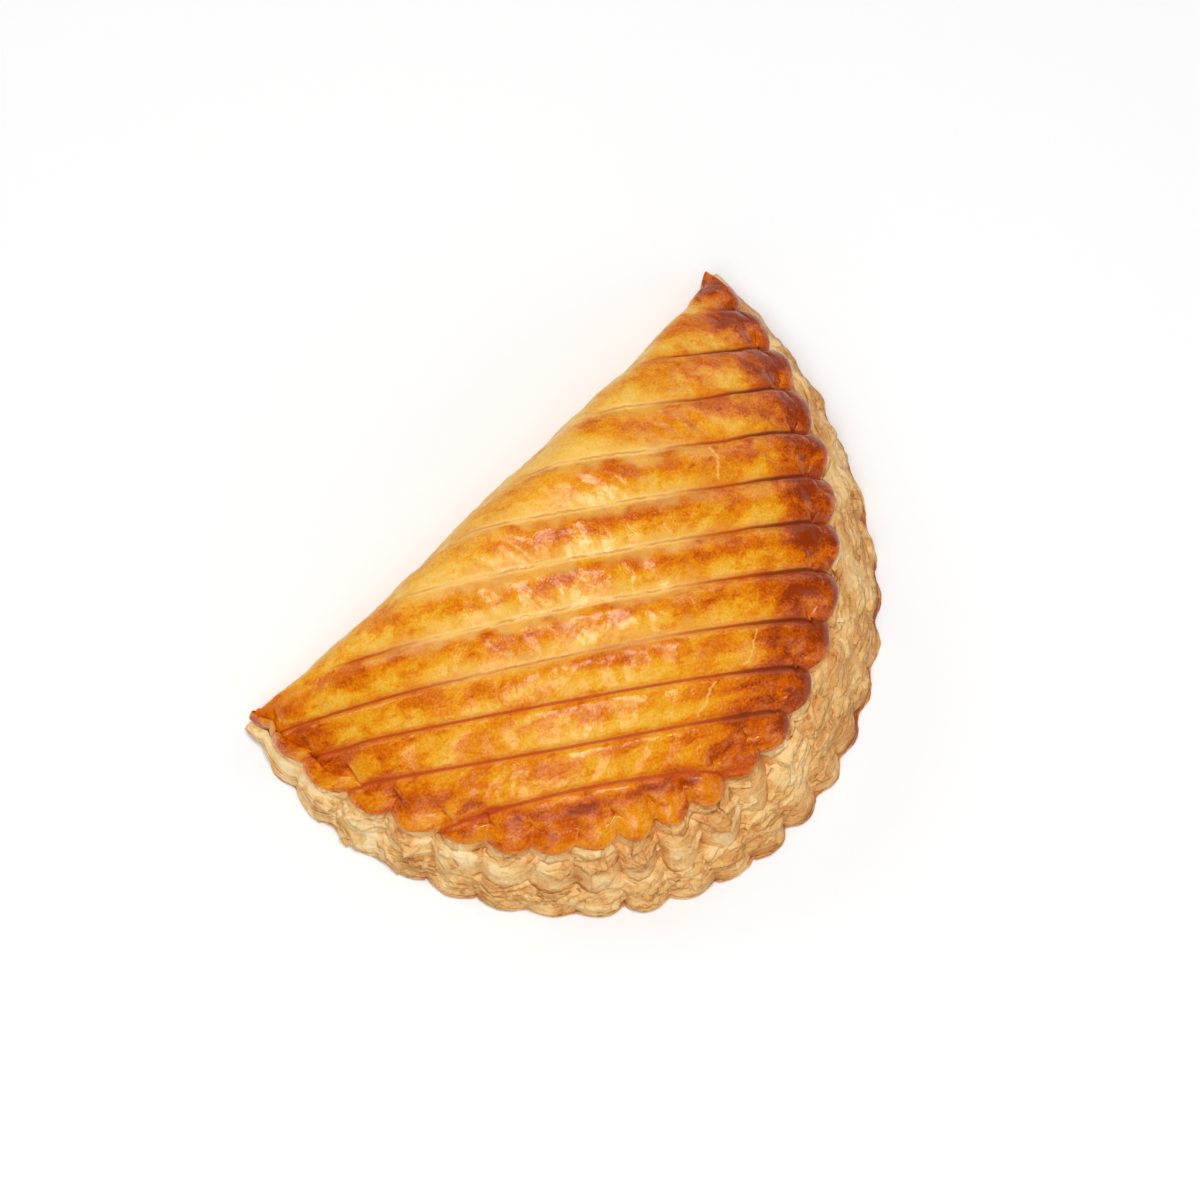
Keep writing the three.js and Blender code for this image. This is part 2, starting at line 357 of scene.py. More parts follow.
def unevenness(points, cell, shift):
    """Smooth uneven values, about -1 to 1, with swells one cell wide; shift picks another pattern."""
    grid = points / cell + shift
    corner = np.floor(grid).astype(int)
    inside = grid - corner
    fade = inside ** 3 * (inside * (inside * 6.0 - 15.0) + 10.0)
    total = np.zeros(points.shape[:-1])
    for step_x in (0, 1):
        for step_y in (0, 1):
            for step_z in (0, 1):
                step = np.array((step_x, step_y, step_z))
                index = (corner + step) % LATTICE
                gradient = GRADIENTS[index[..., 0], index[..., 1], index[..., 2]]
                weight = np.prod(np.where(step == 1, fade, 1.0 - fade), axis=-1)
                total += weight * np.sum(gradient * (inside - step), axis=-1)
    return NOISE_GAIN * total


def stacked(x, y, z):
    return np.stack(np.broadcast_arrays(x, y, z), axis=-1)


# Form of the turnover

def rim_at(share):
    """Point and outward direction on the smooth rim ellipse, from the left corner at 0 to the right at 1."""
    angle = lerp(-CORNER_ANGLE, CORNER_ANGLE, share)
    y = RIM_CENTRE_Y - RIM_HALF_DEPTH * np.cos(angle)
    x = RIM_CENTRE_X + RIM_HALF_LENGTH * np.sin(angle) + RIM_LEAN * (y - RIM_CENTRE_Y)
    run_y = RIM_HALF_DEPTH * np.sin(angle)
    run_x = RIM_HALF_LENGTH * np.cos(angle) + RIM_LEAN * run_y
    length = np.hypot(run_x, run_y)
    return SimpleNamespace(x=x, y=y, out_x=run_y / length, out_y=-run_x / length)


def arch_at(share):
    return np.sin(np.pi * np.clip(share, 0.0, 1.0))


def flare_at(share):
    return lerp(CORNER_FLARE, FLARE + FLARE_SKEW * (share - 0.5), arch_at(share))


def crown_at(lobe):
    return np.abs(np.sin(np.pi * lobe)) ** SCALLOP_ROUNDNESS


def lip_lobe(lobe):
    """Lobe of the upper rim above a place on the lower one."""
    return lobe - LIP_LAG * smooth_step(lobe, *LAG_LOBES)


def lip_notch_share(number):
    """Place of a notch of the upper rim, counted from the left corner."""
    lobe = number
    for _ in range(LAG_PASSES):
        lobe = number + LIP_LAG * smooth_step(lobe, *LAG_LOBES)
    return (lobe - FIRST_LOBE) / LOBES


def uneven_scallops(lobe, depths, seed):
    """How far the rim steps in at each place: notches of uneven depth and lobes of uneven reach."""
    rng = np.random.default_rng(seed)
    count = LOBES + 2
    depth = np.interp(lobe, np.arange(count), rng.uniform(*depths, count))
    jitter = np.interp(lobe, np.arange(count) + 0.5, rng.uniform(-LOBE_JITTER, 0.0, count))
    return SCALLOP_DEPTH * depth * (crown_at(lobe) - 1.0) + jitter


def lip_scallops(lobe):
    """How far the upper rim steps in: deepest where the front turns to the right."""
    return uneven_scallops(lobe, LIP_NOTCH_DEPTHS, LIP_SEED) * (1.0 + DEEP_NOTCH * band(lobe, DEEP_LOBES))


def fold_back(x):
    return -FOLD_DIP * (1.0 - np.abs(x / FOLD_HALF) ** FOLD_SQUARENESS)


def section_at(share):
    """Sizes of the cross-section at each place from the left corner at 0 to the right corner at 1."""
    lobe = FIRST_LOBE + LOBES * share
    arch = arch_at(share)
    to_corner = np.minimum(share, 1.0 - share)
    fullness = lerp(CORNER_FULLNESS, 1.0, smooth_step(to_corner, 0.0, CORNER_REACH))
    lip_fullness = lerp(LIP_CORNER_FULLNESS, 1.0, smooth_step(to_corner, 0.0, LIP_CORNER_REACH))
    tuck = LEFT_CORNER_TUCK * (1.0 - smooth_step(share, 0.0, CORNER_REACH))
    lip_top = lerp(CORNER_HEIGHT, LIP_HEIGHT, arch ** LIP_ARCH)
    fold_x = lerp(FOLD_LEFT, FOLD_RIGHT, share)
    fold_y = fold_back(fold_x)
    fold_round = lerp(CORNER_ROUND, FOLD_ROUND, arch)
    to_sheet_corner = np.clip(1.0 - share / SHEET_CORNER_REACH, 0.0, 1.0)
    sheet_round = SHEET_CORNER_ROUND * (1.0 - np.sqrt(1.0 - to_sheet_corner ** 2))
    return SimpleNamespace(
        lobe=lobe,
        lip_lobe=lip_lobe(lobe),
        rim=rim_at(share),
        arch=arch,
        to_corner=to_corner,
        fullness=fullness,
        lip_fullness=lip_fullness,
        tuck=tuck,
        lip_crown=crown_at(lip_lobe(lobe)),
        sheet_tuck=tuck + sheet_round,
        sheet_turn=SHEET_CORNER_TURN * sheet_round,
        rim_notch=uneven_scallops(lobe, RIM_NOTCH_DEPTHS, RIM_SEED) * lip_fullness - tuck - sheet_round,
        lip_notch=lip_scallops(lip_lobe(lobe)) * lip_fullness - tuck,
        flare=flare_at(share),
        lip_top=lip_top,
        lip_under=lip_top - LIP_THICKNESS,
        fold_x=fold_x,
        fold_y=fold_y,
        fold_round=fold_round,
        crest_y=fold_y - fold_round,
        crest_height=lerp(CORNER_HEIGHT, CREST_HEIGHT, arch ** CREST_ARCH),
        undercut=lerp(CORNER_UNDERCUT, FOLD_UNDERCUT, arch),
    )


def rim_point(section, out, height):
    """Points a given way out from the smooth rim, one for each lobe position."""
    x = section.rim.x + section.rim.out_x * out
    y = section.rim.y + section.rim.out_y * out
    return stacked(x, y, height)


def wall_out(section, share):
    """How far out the leaning side is, from the lower sheet at share 0 to the lip at 1."""
    return -section.flare * lerp(SKIRT_SHARE, 1.0, share)


def smooth_run(points, steps):
    """Rows on a smooth curve through points, without the first and last, which only give its direction."""
    rows = []
    for before, start, end, after in zip(points, points[1:], points[2:], points[3:]):
        for step in range(steps):
            t = step / steps
            rows.append(0.5 * (
                2.0 * start
                + (end - before) * t
                + (2.0 * before - 5.0 * start + 4.0 * end - after) * t ** 2
                + (3.0 * start - before - 3.0 * end + after) * t ** 3
            ))
    return rows


def dome_row(section, lip, share):
    """Row of the domed top, from the lip at share 0 to the crest beside the fold at 1."""
    gap = share * np.hypot(section.fold_x - lip[:, 0], section.crest_y - lip[:, 1])
    scallop = np.exp(-(gap / NOTCH_REACH) ** 2) * (1.0 - share ** NOTCH_FADE) - 1.0 + share
    scallop = scallop * (section.lip_notch + section.tuck)
    x = lerp(lip[:, 0], section.fold_x, share) + section.rim.out_x * scallop
    y = lerp(lip[:, 1], section.crest_y, share) + section.rim.out_y * scallop
    rise = 1.0 - (1.0 - share) ** DOME_FULLNESS
    flute = FLUTE_DEPTH * section.lip_fullness * (1.0 - section.lip_crown) * np.exp(-gap / FLUTE_REACH)
    flute = flute * (1.0 - share)
    from_corner = np.hypot(x - SEALED_X, y - SEALED_Y)
    sealed = 1.0 - smooth_step(from_corner, SEALED_RADIUS - SEALED_SLOPE, SEALED_RADIUS + SEALED_SLOPE)
    drop = SEALED_DROP * sealed * (1.0 - share)
    return stacked(x, y, lerp(section.lip_top, section.crest_height, rise) - flute - drop)


def fold_rows(section):
    """Rows round the back of the fold and under it to the base."""
    rows = []
    waist = section.crest_height * FOLD_WAIST
    for angle in np.linspace(0.0, np.pi / 2.0, FOLD_ROWS, endpoint=False):
        y = section.crest_y + section.fold_round * np.sin(angle)
        rows.append(stacked(section.fold_x, y, waist + (section.crest_height - waist) * np.cos(angle)))
    for angle in np.linspace(0.0, np.pi / 2.0, UNDER_ROWS):
        y = section.fold_y - section.undercut * (1.0 - np.cos(angle))
        rows.append(stacked(section.fold_x, y, waist * (1.0 - np.sin(angle))))
    return rows


# Score lines

def on_top(x, y):
    across = x - RIM_CENTRE_X - RIM_LEAN * (y - RIM_CENTRE_Y)
    lengthwise = across / (RIM_HALF_LENGTH - TOP_LENGTH_INSET)
    crosswise = (y - RIM_CENTRE_Y) / (RIM_HALF_DEPTH - TOP_DEPTH_INSET)
    return y < fold_back(x) - SCORE_FOLD_GAP and math.hypot(lengthwise, crosswise) < 1.0


def score_line(number):
    """Right-hand end, direction and length of one score line."""
    last = number == SCORES - 1
    notch = LAST_SCORE_NOTCH if last else FIRST_SCORE_NOTCH - number
    share = lip_notch_share(notch)
    rim = rim_at(share)
    inset = flare_at(share) + SCORE_INSET
    x = rim.x - rim.out_x * inset
    y = rim.y - rim.out_y * inset
    fanned = min(FIRST_SCORE_ANGLE + SCORE_FAN * number, MOST_SCORE_ANGLE)
    angle = math.radians(LAST_SCORE_ANGLE if last else fanned)
    back_x = -math.cos(angle)
    back_y = math.sin(angle)
    length = 0.0
    end_x = x + back_x * SCORE_PACE
    end_y = y + back_y * SCORE_PACE
    while on_top(end_x, end_y):
        length += SCORE_PACE
        end_x = x + back_x * (length + SCORE_PACE)
        end_y = y + back_y * (length + SCORE_PACE)
    bow = LAST_BOW if last else min(BOW_SHARE * length, MOST_BOW)
    fade = LIP_FADE if end_y < fold_back(end_x) - SCORE_FOLD_GAP else FOLD_FADE
    return SimpleNamespace(x=x, y=y, back_x=back_x, back_y=back_y, length=length, bow=bow, fade=fade)


def strips_at(x, y):
    """Where points lie among the score lines.

    count is how many lines lie above plus the share of the way to the next one, scored tells how
    strongly those lines are cut there, and along is the run from their right-hand ends."""
    offsets = []
    runs = []
    cuts = []
    for number in range(SCORES):
        line = score_line(number)
        run = (x - line.x) * line.back_x + (y - line.y) * line.back_y
        offset = (x - line.x) * line.back_y - (y - line.y) * line.back_x
        bow = line.bow * np.sin(np.pi * np.clip(run / line.length, 0.0, 1.0))
        offsets.append(offset + bow)
        runs.append(run)
        left_end = smooth_step(run - line.length, *line.fade)
        cuts.append(smooth_step(run, *SCORE_LEAD_IN) * (1.0 - left_end))
    offsets = np.array(offsets)
    runs = np.array(runs)
    cuts = np.array(cuts)
    passed = np.sum(offsets < 0.0, axis=0) - 1
    upper = np.clip(passed, 0, SCORES - 1)
    lower = np.clip(passed + 1, 0, SCORES - 1)

    def pick(values, index):
        return np.take_along_axis(values, index[None], axis=0)[0]

    below_upper = np.where(passed >= 0, -pick(offsets, upper), 0.0)
    above_lower = np.where(passed < SCORES - 1, pick(offsets, lower), 0.0)
    below_upper = np.where(passed < 0, STRIP_WIDTH - above_lower, below_upper)
    above_lower = np.where(passed == SCORES - 1, STRIP_WIDTH - below_upper, above_lower)
    width = below_upper + above_lower
    share = np.clip(below_upper / width, 0.0, 1.0)
    upper_cut = np.where(passed >= 0, pick(cuts, upper), 0.0)
    lower_cut = np.where(passed < SCORES - 1, pick(cuts, lower), 0.0)
    return SimpleNamespace(
        count=passed + 1.0 + below_upper / width,
        share=share,
        width=width,
        near=np.minimum(np.abs(below_upper), np.abs(above_lower)),
        scored=lerp(upper_cut, lower_cut, share),
        along=lerp(pick(runs, upper), pick(runs, lower), share),
    )


# Meshes

def outward_normals(grid):
    """Unit normals of a grid of rows and columns."""
    down = np.gradient(grid, axis=0)
    over = np.gradient(grid, axis=1)
    normal = np.cross(over, down)
    length = np.linalg.norm(normal, axis=-1, keepdims=True)
    return normal / np.maximum(length, LEAST_LENGTH)


def plain_rim():
    """The lower rim with even scallops, as the solid has it."""
    section = section_at(np.linspace(0.0, 1.0, RIM_SAMPLES))
    even_notch = SCALLOP_DEPTH * (crown_at(section.lobe) - 1.0) * section.fullness - section.tuck
    return rim_point(section, even_notch, 0.0)


RIM_LOW = plain_rim().min(axis=0)
RIM_HIGH = plain_rim().max(axis=0)
MILLIMETRE = (cad_high.x - cad_low.x) / (RIM_HIGH[0] - RIM_LOW[0])
FLOOR_HEIGHT = cad_low.z


def to_metres(points):
    """Millimetres of the design to the frame's metres, with the rim's lowest corner on the CAD box."""
    return (points - RIM_LOW) * MILLIMETRE + np.array((cad_low.x, cad_low.y, FLOOR_HEIGHT))


def loft_faces(rows, columns):
    """Quads of a tube of closed sections: each column is one section, each row runs along the tube."""
    row = np.arange(rows)[:, None]
    column = np.arange(columns - 1)[None, :]
    after = (row + 1) % rows
    quads = np.stack(np.broadcast_arrays(
        row * columns + column,
        row * columns + column + 1,
        after * columns + column + 1,
        after * columns + column,
    ), axis=-1)
    return quads.reshape(-1, 4)


def rounded_ends(grid, bulge):
    """Adds shrinking sections at both ends of a tube, so that it closes in a rounded tip."""
    def rings(section):
        middle = section.mean(axis=0)
        made = []
        for ring in range(1, CAP_RINGS + 1):
            angle = np.pi / 2.0 * ring / (CAP_RINGS + 1)
            made.append(middle + (section - middle) * math.cos(angle) + bulge * math.sin(angle))
        return made

    left = rings(grid[:, 0])[::-1]
    right = rings(grid[:, -1])
    return np.concatenate((np.stack(left, axis=1), grid, np.stack(right, axis=1)), axis=1)


def end_fans(rows, columns, first_hub):
    """Triangles from the end sections to a hub vertex at each tip."""
    row = np.arange(rows)
    after = (row + 1) % rows
    left = np.stack((row * columns, after * columns, np.full(rows, first_hub)), axis=-1)
    last = columns - 1
    right = np.stack((after * columns + last, row * columns + last, np.full(rows, first_hub + 1)), axis=-1)
    return np.concatenate((left, right))


def signed_volume(points, faces):
    total = 0.0
    for second in range(1, faces.shape[1] - 1):
        a = points[faces[:, 0]]
        b = points[faces[:, second]]
        c = points[faces[:, second + 1]]
        total += np.sum(a * np.cross(b, c)) / 6.0
    return total


def closed_tube(grid):
    """Points and faces of a tube with hubs at its tips, faces pointing out."""
    rows, columns = grid.shape[:2]
    hubs = np.stack((grid[:, 0].mean(axis=0), grid[:, -1].mean(axis=0)))
    points = np.concatenate((grid.reshape(-1, 3), hubs))
    quads = loft_faces(rows, columns)
    fans = end_fans(rows, columns, rows * columns)
    if signed_volume(points, quads) < 0.0:
        quads = quads[:, ::-1]
        fans = fans[:, ::-1]
    return points, quads, fans


def add_piece(name, points, quads, triangles, attributes, uv, material):
    """Makes one mesh object with its point values, its texture layout and its material."""
    mesh = bpy.data.meshes.new(name)
    mesh.from_pydata(to_metres(points).tolist(), [], quads.tolist() + triangles.tolist())
    mesh.polygons.foreach_set("use_smooth", np.ones(len(mesh.polygons), dtype=bool))
    for label, values in attributes.items():
        layer = mesh.attributes.new(label, "FLOAT", "POINT")
        layer.data.foreach_set("value", np.asarray(values, dtype=np.float32))
    layout = mesh.uv_layers.new(name="OFBake")
    layout.data.foreach_set("uv", np.asarray(uv, dtype=np.float32).ravel())
    mesh.materials.append(material)
    mesh.update()
    piece = bpy.data.objects.new(name, mesh)
    bpy.context.scene.collection.objects.link(piece)
    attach(piece, "root")
    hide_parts("pastry")
    return piece


# Texture layout

def tube_layout(grid, quads, triangles):
    """A layout that unrolls a tube: along it one way, round it the other."""
    rows, columns = grid.shape[:2]
    across = np.linalg.norm(np.diff(grid, axis=0, append=grid[:1]), axis=-1).mean(axis=1)
    walked = np.concatenate(((0.0,), np.cumsum(across)))
    round_it = LAYOUT_MARGIN + (1.0 - 2.0 * LAYOUT_MARGIN) * walked / walked[-1]
    along = np.linspace(LAYOUT_MARGIN, 1.0 - LAYOUT_MARGIN, columns)
    row = quads // columns
    column = quads % columns
    closes = np.max(row, axis=1, keepdims=True) - np.min(row, axis=1, keepdims=True) > 1
    row = np.where(closes & (row == 0), rows, row)
    quad_uv = np.stack((along[column], round_it[row]), axis=-1)
    is_hub = triangles >= rows * columns
    corner = np.where(is_hub, 0, triangles)
    left = triangles.max(axis=1, keepdims=True) == rows * columns
    fan_along = np.where(is_hub, np.where(left, 0.0, 1.0), along[corner % columns])
    fan_uv = np.stack((fan_along, round_it[corner // columns]), axis=-1)
    return np.concatenate((quad_uv.reshape(-1, 2), fan_uv.reshape(-1, 2)))


def add_tubes(name, tubes, material):
    """Makes one piece of closed tubes, each with its own point values and strip of the layout."""
    points = []
    quads = []
    fans = []
    quad_uv = []
    fan_uv = []
    attributes = {}
    first = 0
    for number, (grid, values) in enumerate(tubes):
        tube_points, tube_quads, tube_fans = closed_tube(grid)
        uv = tube_layout(grid, tube_quads, tube_fans)
        uv[:, 1] = (number + uv[:, 1]) / len(tubes)
        corners = 4 * len(tube_quads)
        points.append(tube_points)
        quads.append(tube_quads + first)
        fans.append(tube_fans + first)
        quad_uv.append(uv[:corners])
        fan_uv.append(uv[corners:])
        first += len(tube_points)
        for label, field in values.items():
            attributes.setdefault(label, []).append(np.concatenate((field.ravel(), field[0, [0, -1]])))
    joined = {label: np.concatenate(parts) for label, parts in attributes.items()}
    shape = [np.concatenate(parts) for parts in (points, quads, fans)]
    return add_piece(name, *shape, joined, np.concatenate(quad_uv + fan_uv), material)


# Glazed top

def lip_toast(lobe):
    """How brown the lip is along the rim: most at the right, least along the front."""
    right = smooth_step(lobe, *TOAST_RIGHT)
    left = 1.0 - smooth_step(lobe, *TOAST_LEFT)
    return FRONT_TOAST + (1.0 - FRONT_TOAST) * np.maximum(right, LEFT_TOAST * left)


def inner_run(start, end, rise=0.0):
    """Rows that close a section on its hidden inside, arched up by the rise."""
    rows = []
    for share in np.linspace(0.0, 1.0, INNER_ROWS + 2)[1:-1]:
        row = lerp(start, end, share)
        row[:, 2] += rise * math.sin(np.pi * share)
        rows.append(row)
    return rows


def top_form(section):
    """The top before it puffs up: rows from under the lip over the dome, round the fold and back inside."""
    overhang = LIP_OVERHANG * section.fullness
    roll = LIP_ROLL * section.fullness

    def lip(proud, back, height):
        out = overhang * proud - roll * back - section.flare + section.lip_notch
        return rim_point(section, out, section.lip_under + LIP_THICKNESS * height)

    lip_edge = lip(*LIP_PROFILE[-1])
    profile = [lip(*place) for place in (LIP_TAIL, *LIP_PROFILE)]
    profile.append(dome_row(section, lip_edge, LIP_TURN_SHARE))
    lip_rows = smooth_run(profile, LIP_STEPS)
    dome_shares = np.linspace(0.0, 1.0, DOME_ROWS, endpoint=False)
    dome_rows = [dome_row(section, lip_edge, share) for share in dome_shares]
    back_rows = fold_rows(section)
    first_back = len(lip_rows) + DOME_ROWS
    return SimpleNamespace(
        grid=np.stack(lip_rows + dome_rows + back_rows + inner_run(back_rows[-1], profile[1])),
        dome_shares=dome_shares,
        dome_length=np.linalg.norm(dome_rows[-1] - lip_edge, axis=-1),
        first_dome=len(lip_rows),
        first_back=first_back,
        first_inner=first_back + len(back_rows),
    )


def edge_gaps(top):
    """Ways from the lip, and from the crest of the fold, which count below nothing behind it."""
    lip_gap = np.zeros(top.grid.shape[:2])
    lip_gap[top.first_dome:top.first_back] = top.dome_shares[:, None] * top.dome_length
    lip_gap[top.first_back:] = top.dome_length
    fold_gap = top.dome_length - lip_gap
    behind = np.arange(len(top.grid) - top.first_back)[:, None]
    fold_gap[top.first_back:] = -FOLD_ROUND * behind / FOLD_ROWS
    return lip_gap, fold_gap


def scored_rows(top):
    """How far each row belongs to the scored face: 1 on the dome, falling away round the lip and the fold."""
    row = np.arange(len(top.grid))
    fold_start = top.first_back + FOLD_ROWS * SCORED_FOLD
    fold_end = top.first_back + FOLD_ROWS + UNDER_ROWS
    scored = smooth_step(row, top.first_dome - SCORED_LIP * LIP_STEPS, top.first_dome)
    scored = scored * (1.0 - smooth_step(row, fold_start, fold_end))
    return scored * (row < top.first_back + FOLD_ROWS)


def strip_relief(grid, strips, scored, opened):
    """Strips puffed up between the cuts, with slanting ripples."""
    puff = lerp(1.0, FRONT_PILLOW, smooth_step(strips.count, *FRONT_LINES)) * lerp(1.0, OPENED_PILLOW, opened)
    pillow = STRIP_PILLOW * puff * np.sin(np.pi * strips.share ** STRIP_LEAN) * scored
    pillow = pillow * lerp(1.0, smooth_step(strips.near, 0.0, OPENED_HALF_WIDTH), opened)
    groove = GROOVE_DEPTH * np.exp(-(strips.near / GROOVE_HALF_WIDTH) ** 2) * scored
    groove = groove * lerp(1.0, OPENED_GROOVE, opened)
    below = strips.share * strips.width
    slanted = stacked(
        (strips.along + RIPPLE_SLANT * below) / RIPPLE_SPACING,
        below / RIPPLE_LENGTH + RIPPLE_SHIFT * np.floor(strips.count),
        MID_CELL,
    )
    ripple_here = smooth_step(unevenness(grid, *RIPPLE_PATCHES), *RIPPLE_ONSET)
    ripples = RIPPLE_HEIGHT * unevenness(slanted, 1.0, 0.0) * band(strips.share, RIPPLE_PLACE)
    return pillow - groove + ripples * ripple_here * scored


def skin_relief(grid):
    """Blisters, dimples and wrinkles of the baked skin."""
    relief = np.zeros(grid.shape[:2])
    for height, cell, shift in (BLISTERS, DIMPLES, WRINKLES):
        relief = relief + height * unevenness(grid, cell, shift)
    return relief


def widened(field):
    """Values of a tube with rounded ends: those of its end sections are repeated on the added ones."""
    return np.pad(field, ((0, 0), (CAP_RINGS, CAP_RINGS)), mode="edge")


def glazed_top(material):
    """Makes the glazed top: its form with the relief on it, and the values that its finish reads."""
    section = section_at(np.linspace(0.0, 1.0, TOP_COLUMNS))
    top = top_form(section)
    grid = top.grid
    strips = strips_at(grid[..., 0], grid[..., 1])
    scored = strips.scored * scored_rows(top)[:, None]
    opened = smooth_step(strips.along, *OPENED_RUN) * (1.0 - smooth_step(strips.count, *OPENED_LINES))
    opened = opened * smooth_step(grid[..., 0], *OPENED_LEFT) * scored
    lip_gap, fold_gap = edge_gaps(top)
    trough_gap = TROUGH_GAP + TROUGH_WANDER * unevenness(grid, *TROUGH_SWELLS)
    trough = np.exp(-((lip_gap - trough_gap) / TROUGH_HALF_WIDTH) ** 2) * band(section.lobe, TROUGH_LOBES)

    row = np.arange(len(grid))
    outer = smooth_step(row, 0.0, LIP_STEPS) * (row < top.first_inner)
    relief = strip_relief(grid, strips, scored, opened) - TROUGH_DEPTH * trough
    relief = relief + skin_relief(grid) * outer[:, None]
    tip_fade = smooth_step(section.to_corner, 0.0, TIP_REACH)
    normal = outward_normals(grid)
    if np.mean(normal[top.first_dome:top.first_back, :, 2]) < 0.0:
        normal = -normal
    grid = grid + normal * (relief * tip_fade)[..., None]
    grid[..., 2] = np.maximum(grid[..., 2], 0.0)

    # values for the finish
    dark_end = (1.0 - smooth_step(strips.along, *DARK_RUN)) * (1.0 - smooth_step(strips.count, *DARK_LINES))
    values = {
        "strip": strips.count,
        "scored": scored,
        "along": strips.along,
        "opened": opened,
        "dark_end": dark_end * scored,
        "trough": trough,
        "lip_gap": lip_gap,
        "fold_gap": fold_gap,
        "lip_toast": np.broadcast_to(lip_toast(section.lobe), scored.shape),
    }
    capped = rounded_ends(grid, np.array((0.0, CORNER_BULGE, 0.0)))
    capped_values = {label: widened(field) for label, field in values.items()}
    piece = add_tubes("glazed_top", [(capped, capped_values)], material)
    return piece


# Lower sheet: the flat base, the scalloped edge and the core of the side behind the leaves

def lower_sheet(material):
    """Makes the lower sheet, with its height as the value that its finish reads."""
    section = section_at(np.linspace(0.0, 1.0, SHEET_COLUMNS))
    inset = CORE_INSET * section.fullness
    rise = section.lip_under - SHEET_THICKNESS
    half = SHEET_THICKNESS / 2.0
    rows = []
    for share in np.linspace(CORE_TOP, 0.0, WALL_ROWS):
        out = wall_out(section, share) - inset + lerp(section.rim_notch, section.lip_notch, share)
        rows.append(rim_point(section, out, SHEET_THICKNESS + rise * share))
    for angle in np.linspace(np.pi / 2.0, -np.pi / 2.0, EDGE_ROWS):
        back = SHEET_SHOULDER if angle > 0.0 else SHEET_BEVEL
        out = section.rim_notch - SHEET_INSET - back * (1.0 - math.cos(angle))
        rows.append(rim_point(section, out, half + half * math.sin(angle)))
    fold_foot = stacked(section.fold_x, section.fold_y - section.undercut, 0.0)
    rim_foot = rows[-1]
    for share in np.linspace(0.0, 1.0, BASE_ROWS)[1:]:
        rows.append(lerp(rim_foot, fold_foot, share))
    rows.extend(inner_run(fold_foot, rows[0], INNER_RISE))
    grid = np.stack(rows)
    grid[..., 1] -= section.sheet_turn
    capped = rounded_ends(grid, np.array((0.0, -CORNER_BULGE, 0.0)))
    piece = add_tubes("lower_sheet", [(capped, {"height": capped[..., 2]})], material)
    return piece


# Leaves of the side: tiers like petals, each with thin plies under its edge, and loose flakes on them

def torn_layers(points, cell, shift):
    """Stepped unevenness from 0 to 1, like thin layers torn away one over another."""
    swell = unevenness(points * LAYER_FLATNESS, cell, shift)
    value = LEAF_LAYERS * np.clip(0.5 + 0.5 * swell, 0.0, 1.0)
    level = np.floor(value)
    return (level + smooth_step(value - level, 0.0, LEAF_LAYER_STEP)) / LEAF_LAYERS


def torn_edge(section, seed, tear_cell):
    """Ragged edge of one leaf: tears and, on them, a finer fray."""
    line = stacked(section.lobe, seed, MID_CELL)
    tear = LEAF_TEAR * unevenness(line, tear_cell, seed + TEAR_SHIFT)
    return tear + LEAF_FRAY * unevenness(line, FRAY_CELL, seed + FRAY_SHIFT)


def leaf_notch(section, seed):
    """Uneven, torn scallops of one leaf below the lip, which follow the lobes of the lip."""
    slip = LEAF_SLIP * unevenness(stacked(section.lobe, seed, MID_CELL), SLIP_CELL, seed)
    tier_pattern = math.floor(seed / TIER_SEEDS)
    swell = LEAF_SWELL * unevenness(stacked(section.lobe, 0.0, MID_CELL), SWELL_CELL, tier_pattern)
    notch = lip_scallops(section.lip_lobe + slip)
    return (notch + swell + torn_edge(section, seed, LEAF_TEAR_CELL)) * section.fullness


def skirt_notch(section, seed):
    """The lowest leaf follows the lower rim, a little torn."""
    tear = SKIRT_TORN * torn_edge(section, seed, SKIRT_TEAR_CELL) * section.fullness
    return section.rim_notch + section.sheet_tuck + tear


def leaf_rows(section, leaf):
    """Closed outline of one leaf: its upper face down to the edge, the thin edge and the face under it."""
    def face_height(fall):
        return leaf.height + leaf.rise * (1.0 - fall ** leaf.bulge)

    outline = []
    edge = leaf.out + leaf.notch
    for fall in np.linspace(0.0, 1.0, leaf.steps):
        out = leaf.out + leaf.notch * lerp(leaf.root_scallop, 1.0, fall ** leaf.scallop_fade)
        outline.append((out - leaf.reach * (1.0 - fall), face_height(fall)))
    for back, drop in LEAF_EDGE_TURN:
        outline.append((edge - back * leaf.thickness, leaf.height - drop * leaf.thickness))
    for fall in np.linspace(UNDER_START, 0.0, UNDER_STEPS):
        out = edge - leaf.reach * (1.0 - fall) - leaf.thickness
        outline.append((out, face_height(fall) - leaf.thickness))
    return np.stack([rim_point(section, out, height) for out, height in outline])


